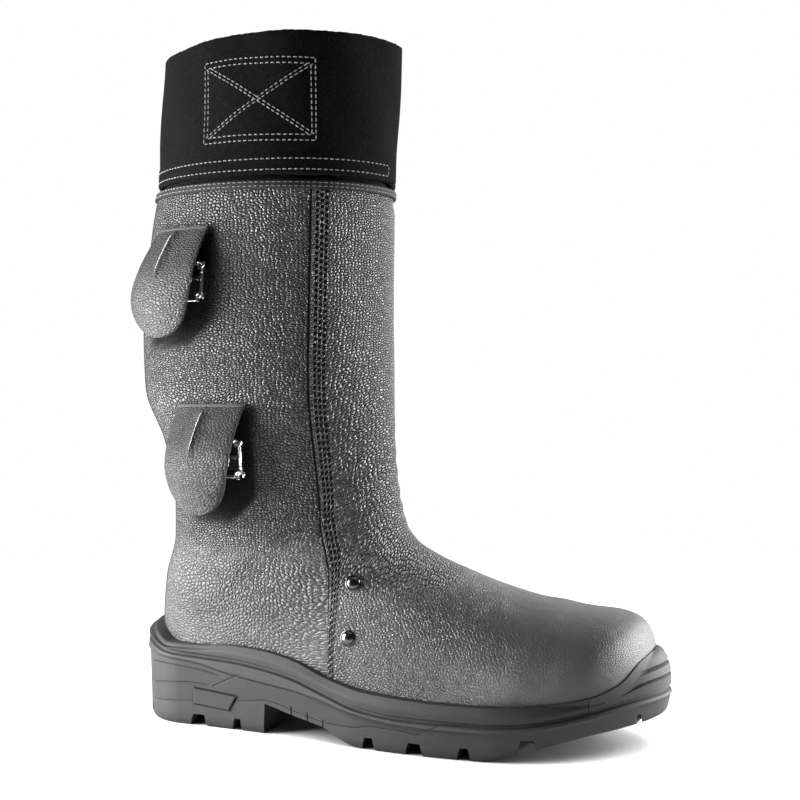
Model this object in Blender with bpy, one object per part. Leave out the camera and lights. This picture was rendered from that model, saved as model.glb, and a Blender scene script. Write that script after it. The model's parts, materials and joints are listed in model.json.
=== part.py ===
"""Foundry boot for the right foot: lasted leather upper on a cup sole, suede wrap cuff, covered buckles.

Sizes are in millimetres: X runs to the toe, +Y to the inner side of the foot, Z up from the ground.
Meshes are written in metres and hang under one empty that puts the part's bottom centre at the origin.
"""
import math
from collections import namedtuple

import bmesh
import bpy
import numpy as np
from mathutils import Vector
from mathutils.bvhtree import BVHTree

MM = 0.001

# Driving sizes of the boot
GAP = 0.3
WALL = 2.2
LAP_STEP = 1.0
SOLE_BACK = -3.0
SOLE_TIP = 296.0
SOLE_TIP_Y = 7.0
HEEL_BACK = 7.5
HEEL_ROUND = 36.0
TOE_ROUND = 80.0
TOE_POWER = 2.1
BUMPER_START = 262.0
CUFF_BOTTOM = 300.4
CUFF_TOP = 376.5
CUFF_THICK = 2.4
CUFF_LEAN = 0.048
CUFF_DROP = 6.0
BINDING_BOTTOM = 292.8
BINDING_TOP = 297.3
BINDING_THICK = 1.8
FLAP_THICK = 2.2
WIRE_RADIUS = 1.2
STRAP_THICK = 1.6
RIVET_RADIUS = 4.2
RIVET_HEIGHT = 2.4
INSOLE_THICK = 3.2
RIB_DEPTH = 1.5
SHAFT_AXIS = 72.0
INSOLE_CLEAR = 1.8

# Resolution of the upper: rows before and after the heel point, columns on each side, lap column
FOOT_ROWS = 28
HEEL_CROWDING = 1.3
SHAFT_ROWS = 11
SIDE_COLUMNS = 12
LAP_COLUMN = 8
LAP_HALF_WIDTH = 0.006
LAP_LOWEST = 0.12
LAP_EASE_ROWS = 5.0
SOLE_STATIONS = 32

# Feather line: where the upper's edge sits on the cup floor
Feather = namedtuple("Feather", "x lateral medial z")
FEATHER = [
    Feather(7.5, 34.0, 33.5, 31.0),
    Feather(35, 34.5, 33.5, 30.2),
    Feather(60, 36.0, 32.5, 29.8),
    Feather(90, 39.0, 31.0, 28.6),
    Feather(120, 43.0, 31.5, 25.4),
    Feather(150, 48.0, 37.0, 22.8),
    Feather(180, 50.5, 43.5, 21.9),
    Feather(205, 49.5, 46.6, 21.9),
    Feather(225, 46.0, 47.4, 22.8),
    Feather(240, 42.0, 46.6, 24.6),
]

# Sections of the upper from the toe tip to the collar; a back height of None lies on the feather line
Section = namedtuple("Section", "name front_x front_z back_x back_z lateral medial ridge widest round")
SECTIONS = [
    Section("toe_edge", 287.0, 33.5, 240.0, None, 42.1, 46.7, 6.5, 0.04, 2.00),
    Section("toe_low", 287.6, 45.0, 238.0, None, 43.6, 48.2, 6.5, 0.10, 2.08),
    Section("toe_front", 285.6, 56.0, 235.0, None, 45.2, 49.0, 6.3, 0.16, 2.16),
    Section("toe_brow", 280.0, 64.6, 231.0, None, 46.8, 49.4, 6.0, 0.22, 2.24),
    Section("toe_top", 269.0, 68.6, 226.0, None, 48.4, 49.6, 5.5, 0.27, 2.28),
    Section("toe_cap", 251.0, 70.4, 217.0, None, 50.8, 49.6, 4.5, 0.30, 2.26),
    Section("ball", 229.0, 73.4, 203.0, None, 52.6, 49.0, 3.0, 0.32, 2.20),
    Section("vamp", 206.0, 79.6, 185.0, None, 53.2, 46.5, 1.5, 0.33, 2.12),
    Section("instep_low", 186.0, 87.0, 165.0, None, 52.0, 42.8, 0.5, 0.34, 2.05),
    Section("instep", 168.5, 94.4, 142.0, None, 49.4, 40.0, 0.0, 0.34, 2.00),
    Section("instep_high", 155.4, 102.6, 115.0, None, 46.4, 38.6, 0.0, 0.36, 2.00),
    Section("ankle_front", 149.0, 113.0, 87.0, None, 44.0, 39.4, 0.0, 0.40, 2.00),
    Section("ankle_mid", 146.0, 125.0, 58.0, None, 43.0, 41.2, 0.0, 0.43, 2.00),
    Section("heel_side", 144.2, 138.0, 31.0, None, 43.2, 42.6, 0.0, 0.45, 2.00),
    Section("heel_point", 143.2, 149.0, 7.5, None, 44.2, 44.0, 0.0, 0.47, 2.00),
    Section("heel_curve", 142.4, 160.0, 5.0, 52.0, 45.4, 45.4, 0.0, 0.49, 2.00),
    Section("counter", 141.9, 171.0, 7.2, 76.0, 47.2, 47.2, 0.0, 0.50, 2.00),
    Section("ankle_back", 141.4, 182.0, 13.6, 100.0, 49.8, 49.8, 0.0, 0.50, 2.00),
    Section("shaft_low", 141.0, 194.0, 14.0, 125.0, 52.8, 52.8, 0.0, 0.50, 2.00),
    Section("calf_low", 140.7, 208.0, 7.5, 155.0, 55.6, 55.6, 0.0, 0.50, 2.00),
    Section("calf", 140.5, 224.0, -5.0, 185.0, 57.0, 57.0, 0.0, 0.50, 2.00),
    Section("calf_high", 140.6, 242.0, -6.4, 218.0, 57.0, 57.0, 0.0, 0.50, 2.00),
    Section("shaft_high", 140.9, 262.0, -4.0, 250.0, 56.0, 56.0, 0.0, 0.50, 2.00),
    Section("shaft_top", 141.2, 284.0, 0.4, 284.0, 54.8, 54.8, 0.0, 0.50, 2.00),
    Section("collar", 141.2, 297.6, 3.6, 297.6, 54.0, 54.0, 0.0, 0.50, 2.00),
    Section("neck", 137.2, 299.8, 6.0, 299.8, 51.0, 51.0, 0.0, 0.50, 2.00),
    Section("shaft_end", 139.8, 330.0, 8.6, 330.0, 51.0, 51.0, 0.0, 0.50, 2.00),
]
HEEL_SECTION = 14
TOP_SECTION = 23

# Edge of the front panel that laps over the rear panel: its place along the foot at each height
Lap = namedtuple("Lap", "z x")
LAP = [Lap(20, 124), Lap(60, 124.5), Lap(85, 123), Lap(115, 116), Lap(180, 113), Lap(294, 114), Lap(335, 115)]

# Sole outline, top line of its wall, band groove, heel step, ground line and inward lean of the top edge
SoleRow = namedtuple("SoleRow", "x lateral medial top groove step ground lean")
SOLE = [
    SoleRow(-3, 41.0, 40.0, 53.5, 46.0, 38.0, 1.2, 4.6),
    SoleRow(8, 41.0, 40.0, 49.5, 44.0, 38.0, 0.0, 3.6),
    SoleRow(24, 41.2, 40.0, 44.8, 40.4, 37.0, 0.0, 2.4),
    SoleRow(42, 41.6, 39.6, 45.0, 39.2, 35.4, 0.0, 1.8),
    SoleRow(64, 43.0, 38.6, 46.4, 38.2, 31.0, 0.0, 1.6),
    SoleRow(86, 44.9, 37.4, 45.0, 35.8, 27.9, 0.0, 1.6),
    SoleRow(105, 47.2, 37.2, 41.2, 32.0, 25.6, 0.0, 1.6),
    SoleRow(122, 50.0, 37.8, 35.0, 26.6, 22.4, 0.0, 1.6),
    SoleRow(145, 54.6, 42.0, 30.0, 20.6, 17.4, 0.0, 1.6),
    SoleRow(168, 57.2, 47.8, 28.4, 18.6, 15.0, 0.0, 1.6),
    SoleRow(190, 58.0, 52.0, 27.6, 18.4, 14.5, 0.0, 1.6),
    SoleRow(212, 57.2, 54.6, 27.5, 18.4, 14.5, 0.2, 1.6),
    SoleRow(226, 55.4, 55.2, 27.8, 18.9, 15.4, 3.2, 1.8),
    SoleRow(240, 53.0, 54.8, 28.8, 20.6, 17.2, 7.4, 2.2),
    SoleRow(262, 48.0, 53.0, 32.6, 25.0, 21.6, 12.6, 3.6),
    SoleRow(275, 44.5, 51.0, 38.5, 28.2, 24.6, 14.8, 4.2),
    SoleRow(286, 41.5, 48.6, 48.5, 30.2, 26.6, 16.6, 5.4),
    SoleRow(296, 38.0, 46.0, 52.0, 31.5, 27.9, 18.4, 6.0),
]

# Line where the tread rubber meets the cup
Parting = namedtuple("Parting", "x z")
PARTING = [
    Parting(-12, 10.0), Parting(4, 10.6), Parting(35, 13.7), Parting(70, 16.8), Parting(86, 18.8),
    Parting(95, 17.6), Parting(104, 14.8), Parting(114, 12.8), Parting(124, 11.0), Parting(142, 11.0),
    Parting(150, 13.0), Parting(168, 12.7), Parting(178, 11.4), Parting(184, 14.6), Parting(191, 18.0),
    Parting(218, 18.4), Parting(240, 20.6), Parting(BUMPER_START, 25.0),
]

# Hollow of the arch from the heel breast to the forefoot tread
Arch = namedtuple("Arch", "x z")
ARCH = [
    Arch(85.0, -6.0), Arch(86.5, 16.6), Arch(90, 15.8), Arch(102, 12.6), Arch(113, 10.4), Arch(122, 8.6),
    Arch(128, 5.8), Arch(136, 2.2), Arch(144, -0.6), Arch(144, -6.0),
]

# Notches between the lugs of the tread: start and end along the foot and depth up from the ground line
Notch = namedtuple("Notch", "start end depth reach")
NOTCHES = [
    Notch(38, 51, 6.5, 16), Notch(65, 73, 6.5, 16), Notch(145.5, 155, 6.5, 20), Notch(170, 182, 6.5, 24),
    Notch(198, 207, 6.5, 24), Notch(228, 240, 6.5, 24), Notch(281, 286, 5.0, 14),
]
GROOVES = [Notch(14, 70, 4.0, 4), Notch(162, 256, 4.0, 4)]

# Leather covers: top height, place around the shaft (degrees from the front over the outer side), lean
Cover = namedtuple("Cover", "name top around top_width lobe_width length lean stand")
COVERS = [
    Cover("upper", 274.0, 121.75, 38.0, 44.0, 60.0, 3.0, 13.0),
    Cover("lower", 178.5, 102.25, 44.0, 50.0, 60.0, 8.7, 13.0),
]
COVER_RADIUS = 58.0
COVER_LOBE = 0.6
COVER_CREST = 0.65
COVER_TUCK = 0.2
COVER_CREASE_RISE = 1.6
COVER_CREASE_WIDTH = 4.0

# Buckles under the covers: middle height and place around the shaft
Buckle = namedtuple("Buckle", "name z around")
BUCKLES = [Buckle("upper", 244.0, 111.0), Buckle("lower", 150.0, 91.5)]
BUCKLE_WIDTH = 14.0
BUCKLE_HEIGHT = 20.0
STRAP_WIDTH = 14.0
STRAP_LENGTH = 26.0
STRAP_BACK = 5.0

# Rivets at the foot of the lap
Rivet = namedtuple("Rivet", "name x z")
RIVETS = [Rivet("upper", 136.4, 83.7), Rivet("lower", 136.6, 55.9)]

# Colours as linear grey, with roughness and metallic value
Finish = namedtuple("Finish", "grey roughness metallic")
FINISHES = {
    "grain_leather": Finish(0.05, 0.42, 0.0),
    "suede": Finish(0.010, 0.95, 0.0),
    "sole_rubber": Finish(0.13, 0.70, 0.0),
    "tread_rubber": Finish(0.12, 0.72, 0.0),
    "felt": Finish(0.08, 0.95, 0.0),
    "bright_steel": Finish(0.60, 0.22, 1.0),
    "dark_steel": Finish(0.12, 0.30, 1.0),
}


def clear_scene():
    """Start from an empty scene."""
    for item in list(bpy.data.objects):
        bpy.data.objects.remove(item, do_unlink=True)


def finish_material(name):
    """Principled material of one finish."""
    material = bpy.data.materials.get(name)
    if material:
        return material
    finish = FINISHES[name]
    material = bpy.data.materials.new(name)
    material.use_nodes = True
    shader = material.node_tree.nodes["Principled BSDF"]
    shader.inputs["Base Color"].default_value = (finish.grey, finish.grey, finish.grey, 1.0)
    shader.inputs["Roughness"].default_value = finish.roughness
    shader.inputs["Metallic"].default_value = finish.metallic
    material.diffuse_color = (finish.grey, finish.grey, finish.grey, 1.0)
    return material


def mesh_object(name, points, faces, finish):
    """Object of one closed mesh from points in millimetres, with its faces turned outward."""
    mesh = bpy.data.meshes.new(name)
    mesh.from_pydata([tuple(MM * value for value in point) for point in points], [], faces)
    shape = bmesh.new()
    shape.from_mesh(mesh)
    bmesh.ops.recalc_face_normals(shape, faces=shape.faces)
    if shape.calc_volume(signed=True) < 0:
        bmesh.ops.reverse_faces(shape, faces=shape.faces)
    shape.to_mesh(mesh)
    shape.free()
    item = bpy.data.objects.new(name, mesh)
    bpy.context.collection.objects.link(item)
    item.data.materials.append(finish_material(finish))
    mesh.shade_smooth()
    mesh.set_sharp_from_angle(angle=math.radians(38))
    return item


def boolean(item, cutter, operation):
    """Cut or keep an object with a hidden cutter."""
    cutter.hide_render = True
    cutter.display_type = 'WIRE'
    modifier = item.modifiers.new(cutter.name, 'BOOLEAN')
    modifier.object = cutter
    modifier.operation = operation
    modifier.solver = 'EXACT'


def smooth_curve(keys, values):
    """Monotone cubic through the stations of a table, held flat beyond both ends."""
    keys = np.array(keys, dtype=float)
    values = np.array(values, dtype=float)
    step = np.diff(keys)
    slope = np.diff(values) / step
    tangent = np.zeros(len(keys))
    for i in range(1, len(keys) - 1):
        if slope[i - 1] * slope[i] > 0:
            tangent[i] = 2 * slope[i - 1] * slope[i] / (slope[i - 1] + slope[i])
    tangent[0] = slope[0]
    tangent[-1] = slope[-1]

    def value(key):
        key = min(max(key, keys[0]), keys[-1])
        i = min(int(np.searchsorted(keys, key, side="right")) - 1, len(step) - 1)
        t = (key - keys[i]) / step[i]
        start = (1 + 2 * t) * (1 - t) ** 2 * values[i] + t * (1 - t) ** 2 * step[i] * tangent[i]
        end = t * t * (3 - 2 * t) * values[i + 1] + t * t * (t - 1) * step[i] * tangent[i + 1]
        return float(start + end)

    return value


def column(table, key, name):
    """Smooth curve of one column of a table over another."""
    return smooth_curve([getattr(row, key) for row in table], [getattr(row, name) for row in table])


def ease(low, high, value):
    """Smooth step from 0 at low to 1 at high."""
    t = min(max((value - low) / (high - low), 0.0), 1.0)
    return t * t * (3 - 2 * t)


feather_z = column(FEATHER, "x", "z")
feather_lateral = column(FEATHER, "x", "lateral")
feather_medial = column(FEATHER, "x", "medial")
lap_x = column(LAP, "z", "x")


def heel_arc(x):
    """Narrowing of the feather line round the heel."""
    if x >= HEEL_BACK + HEEL_ROUND:
        return 1.0
    reach = (HEEL_BACK + HEEL_ROUND - x) / HEEL_ROUND
    return math.sqrt(max(0.0, 1 - reach * reach))


def section_curves():
    """Curve of each section column over the section's number, with back heights on the feather line."""
    rows = []
    for row in SECTIONS:
        on_feather = row.back_z is None
        rows.append(row._replace(back_z=feather_z(row.back_x) if on_feather else row.back_z))
    numbers = range(len(rows))
    return {name: smooth_curve(numbers, [getattr(row, name) for row in rows])
            for name in Section._fields[1:]}


CURVES = section_curves()


def section_point(u, side, q):
    """Point of section u; side -1 is the outer half, q runs from the lower edge (0) to the ridge (1)."""
    size = {name: curve(u) for name, curve in CURVES.items()}
    if u < HEEL_SECTION:
        size["back_z"] = feather_z(size["back_x"])
    front = Vector((size["front_x"], 0, size["front_z"]))
    back = Vector((size["back_x"], 0, size["back_z"]))
    height = (front - back).length
    along = (front - back) / height
    if side < 0:
        half = size["lateral"] + size["ridge"]
        edge = feather_lateral(size["back_x"]) * heel_arc(size["back_x"]) + size["ridge"]
    else:
        half = size["medial"] - size["ridge"]
        edge = feather_medial(size["back_x"]) * heel_arc(size["back_x"]) - size["ridge"]
    if u >= HEEL_SECTION:
        edge = 0.0
    widest = size["widest"]
    if q < widest:
        end = math.acos(min(edge / half, 0.995))
        depth = widest * height / math.sin(end)
        turn = end * (1 - q / widest)
        across = half * math.cos(turn)
        up = widest * height - depth * math.sin(turn)
    else:
        turn = 0.5 * math.pi * (q - widest) / (1 - widest)
        power = 2 / size["round"]
        across = half * max(math.cos(turn), 0.0) ** power
        up = widest * height + (1 - widest) * height * math.sin(turn) ** power
    place = back + along * up
    return Vector((place.x, size["ridge"] + side * across, place.z))


def lap_place(u, side):
    """Place of the lap edge on section u, or None where the section lies ahead of it."""
    samples = 80
    last = section_point(u, side, 0.0)
    if last.x >= lap_x(last.z):
        return None
    for i in range(1, samples + 1):
        point = section_point(u, side, i / samples)
        if point.x >= lap_x(point.z):
            before = lap_x(last.z) - last.x
            after = point.x - lap_x(point.z)
            return max((i - 1 + before / (before + after)) / samples, LAP_LOWEST)
        last = point
    return None


def side_places(u, side, first_lapped):
    """Column places of one side of section u, with two columns along the lap edge."""
    plain = (LAP_COLUMN + 0.5) / SIDE_COLUMNS
    place = lap_place(u, side)
    if place is None:
        place = LAP_LOWEST + (plain - LAP_LOWEST) * ease(0, LAP_EASE_ROWS, first_lapped - u)
    places = []
    for i in range(SIDE_COLUMNS + 1):
        if i <= LAP_COLUMN:
            places.append((place - LAP_HALF_WIDTH) * i / LAP_COLUMN)
        else:
            share = (i - LAP_COLUMN - 1) / (SIDE_COLUMNS - LAP_COLUMN - 1)
            places.append(place + LAP_HALF_WIDTH + (1 - place - LAP_HALF_WIDTH) * share)
    return places


def upper_rows():
    """Section numbers of the upper's rows, one of them on the heel point."""
    foot = [HEEL_SECTION * (1 - (1 - i / FOOT_ROWS) ** HEEL_CROWDING) for i in range(FOOT_ROWS)]
    rise = TOP_SECTION - HEEL_SECTION
    shaft = [HEEL_SECTION + rise * i / SHAFT_ROWS for i in range(SHAFT_ROWS)]
    return foot + shaft + list(range(TOP_SECTION, len(SECTIONS)))


def upper_grid():
    """Base surface of the upper as rows of points from the outer edge over the ridge to the inner edge."""
    grid = []
    rows = upper_rows()
    first_lapped = {side: min(u for u in rows if lap_place(u, side) is not None) for side in (-1, 1)}
    for u in rows:
        outer = [section_point(u, -1, q) for q in side_places(u, -1, first_lapped[-1])]
        inner = [section_point(u, 1, q) for q in side_places(u, 1, first_lapped[1])]
        grid.append(outer + inner[-2::-1])
    return grid


def grid_normals(grid):
    """Outward directions of a grid whose rows close into loops after the heel point."""
    normals = []
    last_row = len(grid) - 1
    last_column = len(grid[0]) - 1
    for i, row in enumerate(grid):
        line = []
        for j in range(last_column + 1):
            ahead = grid[min(i + 1, last_row)][j] - grid[max(i - 1, 0)][j]
            if i >= FOOT_ROWS and j in (0, last_column):
                across = row[1] - row[last_column - 1]
            else:
                across = row[min(j + 1, last_column)] - row[max(j - 1, 0)]
            line.append(across.cross(ahead).normalized())
        normals.append(line)
    return normals


def lapped_grid(grid, normals, clearance=0.0):
    """Outer face of the upper: the front panel stands a step above the rear one."""
    raised = []
    for row, directions in zip(grid, normals):
        line = []
        for point, direction in zip(row, directions):
            step = 0.0
            if point.x > lap_x(point.z):
                step = LAP_STEP * ease(24, 33, point.z)
                step *= (1 - ease(BINDING_BOTTOM - 6, BINDING_BOTTOM, point.z))
            line.append(point + direction * (step + clearance))
        raised.append(line)
    return raised


def grid_numbers(rows, columns, first):
    """Vertex numbers of a grid whose rows after the heel point share their first and last point."""
    numbers = []
    count = first
    for i in range(rows):
        closed = i >= FOOT_ROWS
        width = columns - 1 if closed else columns
        line = list(range(count, count + width))
        count += width
        if closed:
            line.append(line[0])
        numbers.append(line)
    return numbers, count


def grid_points(grid):
    """Points of a grid in the order of its vertex numbers."""
    points = []
    for i, row in enumerate(grid):
        points += row[:-1] if i >= FOOT_ROWS else row
    return points


def grid_faces(numbers, flip=False):
    """Quads between neighbouring rows."""
    faces = []
    for low, high in zip(numbers, numbers[1:]):
        for j in range(len(low) - 1):
            quad = [low[j], low[j + 1], high[j + 1], high[j]]
            faces.append(quad[::-1] if flip else quad)
    return faces


def lower_edge(numbers):
    """Vertex loop of the open underside: round the toe, then along both sides to the heel point."""
    inner_side = [numbers[i][-1] for i in range(1, FOOT_ROWS + 1)]
    outer_side = [numbers[i][0] for i in range(FOOT_ROWS - 1, 0, -1)]
    return numbers[0] + inner_side + outer_side


def rim_faces(outer_loop, inner_loop):
    """Quads that join two matching closed loops."""
    faces = []
    count = len(outer_loop)
    for i in range(count):
        k = (i + 1) % count
        faces.append([outer_loop[i], outer_loop[k], inner_loop[k], inner_loop[i]])
    return faces


def level_lower_rim(grid, normals, inside):
    """Set the inner edge of the open underside level with its outer edge."""
    last = len(grid[0]) - 1
    for i in range(FOOT_ROWS + 1):
        for j in range(last + 1) if i == 0 else (0, last):
            flat = Vector((normals[i][j].x, normals[i][j].y, 0)).normalized()
            inside[i][j] = grid[i][j] - flat * WALL


def make_upper(grid, normals):
    """Hollow leather wall, open at the collar and underneath."""
    outside = lapped_grid(grid, normals)
    inside = [[point - direction * WALL for point, direction in zip(row, directions)]
              for row, directions in zip(grid, normals)]
    level_lower_rim(grid, normals, inside)
    rows = len(grid)
    columns = len(grid[0])
    outer_numbers, count = grid_numbers(rows, columns, 0)
    inner_numbers, count = grid_numbers(rows, columns, count)
    faces = grid_faces(outer_numbers) + grid_faces(inner_numbers, flip=True)
    faces += rim_faces(lower_edge(outer_numbers), lower_edge(inner_numbers))
    faces += rim_faces(outer_numbers[-1][:-1], inner_numbers[-1][:-1])
    return mesh_object("upper", grid_points(outside) + grid_points(inside), faces, "grain_leather")


def underside_faces(numbers):
    """Strips across the open underside and the flat of the toe."""
    faces = [list(numbers[0])]
    for i in range(FOOT_ROWS):
        low = numbers[i]
        high = numbers[i + 1]
        if i + 1 < FOOT_ROWS:
            faces.append([low[0], high[0], high[-1], low[-1]])
        else:
            faces.append([low[0], high[0], low[-1]])
    return faces


def make_last_cutter(grid, normals):
    """Solid foot of the upper, a gap larger all round, that hollows the sole."""
    foot_rows = FOOT_ROWS + 4
    dilated = lapped_grid(grid[:foot_rows], normals[:foot_rows], GAP)
    numbers, count = grid_numbers(foot_rows, len(grid[0]), 0)
    points = [Vector(point) for point in grid_points(dilated)]
    for number in set(lower_edge(numbers)):
        points[number].z -= GAP
    faces = grid_faces(numbers) + underside_faces(numbers) + [numbers[-1][:-1]]
    return mesh_object("last_cutter", points, faces, "sole_rubber")


def make_insole(grid):
    """Footbed on the cup floor, inside the upper's edge."""
    numbers, count = grid_numbers(FOOT_ROWS + 1, len(grid[0]), 0)
    base = grid_points(grid[:FOOT_ROWS + 1])
    loop = lower_edge(numbers)
    moved = {}
    for i, number in enumerate(loop):
        ahead = base[loop[(i + 1) % len(loop)]] - base[loop[i - 1]]
        inward = Vector((ahead.y, -ahead.x, 0)).normalized()
        if inward.dot(Vector((120, 0, 0)) - Vector((base[number].x, base[number].y, 0))) < 0:
            inward = -inward
        moved[number] = base[number] + inward * (WALL + INSOLE_CLEAR)
    order = {number: i for i, number in enumerate(loop)}
    low = [moved[number] for number in loop]
    high = [point + Vector((0, 0, INSOLE_THICK)) for point in low]
    bottom = [[order[number] for number in face] for face in underside_faces(numbers)]
    top = [[number + len(loop) for number in face[::-1]] for face in bottom]
    sides = rim_faces(list(range(len(loop))), list(range(len(loop), 2 * len(loop))))
    return mesh_object("insole", low + high, bottom + top + sides, "felt")


sole_lateral = column(SOLE, "x", "lateral")
sole_medial = column(SOLE, "x", "medial")
sole_top = column(SOLE, "x", "top")
sole_groove = column(SOLE, "x", "groove")
sole_step = column(SOLE, "x", "step")
sole_ground = column(SOLE, "x", "ground")
sole_lean = column(SOLE, "x", "lean")


def sole_edge(x, side):
    """Side of the sole's outline at x, rounded at the heel and the toe."""
    half = sole_lateral(x) if side < 0 else sole_medial(x)
    centre = SOLE_TIP_Y * ease(150, SOLE_TIP, x)
    reach = half + centre if side < 0 else half - centre
    if x < SOLE_BACK + HEEL_ROUND:
        back = (SOLE_BACK + HEEL_ROUND - x) / HEEL_ROUND
        reach *= math.sqrt(max(0.0, 1 - back * back))
    toe_start = SOLE_TIP - TOE_ROUND
    if x > toe_start:
        ahead = (x - toe_start) / TOE_ROUND
        reach *= max(0.0, 1 - ahead ** TOE_POWER) ** (1 / TOE_POWER)
    return centre + side * reach


def sole_outline():
    """Outline points round the sole from the heel along the outer side to the toe and back."""
    stations = []
    for i in range(SOLE_STATIONS + 1):
        share = (1 - math.cos(math.pi * i / SOLE_STATIONS)) / 2
        stations.append(SOLE_BACK + (SOLE_TIP - SOLE_BACK) * share)
    outer = [Vector((x, sole_edge(x, -1), 0)) for x in stations]
    inner = [Vector((x, sole_edge(x, 1), 0)) for x in stations[-2:0:-1]]
    return outer + inner


def band_line(share):
    """Line at a share of the way up the band, from its groove to its top."""
    def height(x):
        low = sole_groove(x) + 1.3
        return low + share * (sole_top(x) - 2.0 - low)
    return height


def bumper_depth(x):
    """Depth of the grooves round the toe bumper, none behind it."""
    return RIB_DEPTH * ease(BUMPER_START + 2, BUMPER_START + 12, x)


# Wall of the sole from the ground up: the line of a ring, its rise, push outward, lean and bumper groove
Ring = namedtuple("Ring", "line rise push lean rib")
WALL_RINGS = [
    Ring(sole_ground, 0.0, -3.4, 0.0, 0),
    Ring(sole_ground, 1.2, -2.4, 0.0, 0),
    Ring(sole_ground, 3.5, -1.6, 0.0, 0),
    Ring(sole_step, -1.0, -0.6, 0.0, 0),
    Ring(sole_step, 0.6, 0.5, 0.0, 0),
    Ring(sole_groove, -1.6, 0.2, 0.06, 0),
    Ring(sole_groove, -0.7, -1.2, 0.06, 0),
    Ring(sole_groove, 0.5, -1.2, 0.06, 0),
    Ring(sole_groove, 1.3, 0.3, 0.08, 0),
    Ring(band_line(0.30), 0.0, 0.5, 0.10, 0),
    Ring(band_line(0.36), 0.0, 0.5, 0.12, 1),
    Ring(band_line(0.42), 0.0, 0.6, 0.14, 0),
    Ring(band_line(0.64), 0.0, 0.6, 0.28, 0),
    Ring(band_line(0.70), 0.0, 0.6, 0.34, 1),
    Ring(band_line(0.76), 0.0, 0.6, 0.40, 0),
    Ring(sole_top, -2.0, 0.5, 0.75, 0),
    Ring(sole_top, -0.5, 0.2, 1.0, 0),
    Ring(sole_top, 0.0, -0.6, 1.0, 0),
]


def make_sole_block():
    """Whole sole as one solid, before the last hollows it."""
    outline = sole_outline()
    count = len(outline)
    outward = []
    for i in range(count):
        along = outline[(i + 1) % count] - outline[i - 1]
        outward.append(Vector((along.y, -along.x, 0)).normalized())
    points = []
    for ring in WALL_RINGS:
        for place, direction in zip(outline, outward):
            push = ring.push - ring.lean * sole_lean(place.x) - ring.rib * bumper_depth(place.x)
            moved = place + direction * push
            points.append(Vector((moved.x, moved.y, ring.line(place.x) + ring.rise)))
    rings = [list(range(k * count, (k + 1) * count)) for k in range(len(WALL_RINGS))]
    faces = []
    for low, high in zip(rings, rings[1:]):
        faces += rim_faces(low, high)
    for ring in (rings[0], rings[-1]):
        faces.append([ring[0], ring[1], ring[-1]])
        for i in range(1, SOLE_STATIONS - 1):
            faces.append([ring[i], ring[i + 1], ring[-i - 1], ring[-i]])
        faces.append([ring[SOLE_STATIONS - 1], ring[SOLE_STATIONS], ring[SOLE_STATIONS + 1]])
    return mesh_object("sole_block", points, faces, "sole_rubber")


def prism(name, profile, half_width):
    """Solid of an X-Z outline drawn across the whole sole."""
    count = len(profile)
    points = [(x, -half_width, z) for x, z in profile] + [(x, half_width, z) for x, z in profile]
    faces = rim_faces(list(range(count)), list(range(count, 2 * count)))
    faces += [list(range(count)), list(range(2 * count - 1, count - 1, -1))]
    return mesh_object(name, points, faces, "sole_rubber")


def make_cup_zone(name, drop):
    """Zone above the parting line and behind the toe bumper, lowered by the gap where it cuts."""
    low = [(row.x, row.z - drop) for row in PARTING]
    end = BUMPER_START + drop
    low[-1] = (end, low[-1][1])
    return prism(name, low + [(end, 90), (PARTING[0].x, 90)], 90)


def box_points(start, end, near, far, low, high, taper):
    """Corners of a notch that narrows toward its inner end and its top."""
    points = []
    for z, narrow in ((low, 0.0), (high, taper)):
        points += [(start + narrow, near, z), (end - narrow, near, z),
                   (end - narrow - taper, far, z), (start + narrow + taper, far, z)]
    return points


BOX_FACES = [[0, 1, 2, 3], [7, 6, 5, 4], [0, 4, 5, 1], [1, 5, 6, 2], [2, 6, 7, 3], [3, 7, 4, 0]]


def make_tread_cutter():
    """All notches between the lugs, on both sides, and the channel along the middle."""
    points = []
    faces = []
    below = -8.0
    boxes = []
    for notch in NOTCHES:
        middle = (notch.start + notch.end) / 2
        high = sole_ground(middle) + notch.depth
        for side in (-1, 1):
            edge = sole_edge(middle, side)
            boxes.append(box_points(notch.start, notch.end, edge + side * 8, edge - side * notch.reach,
                                    below, high, 0.8))
    for groove in GROOVES:
        boxes.append(box_points(groove.start, groove.end, -groove.reach, groove.reach,
                                below, groove.depth, 0.8))
    for box in boxes:
        faces += [[number + len(points) for number in face] for face in BOX_FACES]
        points += box
    return mesh_object("tread_cutter", points, faces, "tread_rubber")


def make_sole(last_cutter):
    """Cup and tread: one moulded form, hollowed by the last and parted along the tread line."""
    midsole = make_sole_block()
    midsole.name = "midsole"
    outsole = make_sole_block()
    outsole.name = "outsole"
    outsole.data.materials[0] = finish_material("tread_rubber")
    arch = prism("arch_cutter", [(row.x, row.z) for row in ARCH], 90)
    for item in (midsole, outsole):
        boolean(item, last_cutter, 'DIFFERENCE')
        boolean(item, arch, 'DIFFERENCE')
    boolean(midsole, make_cup_zone("cup_zone", 0.0), 'INTERSECT')
    boolean(outsole, make_cup_zone("cup_room", GAP), 'DIFFERENCE')
    boolean(outsole, make_tread_cutter(), 'DIFFERENCE')
    return midsole, outsole


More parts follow.
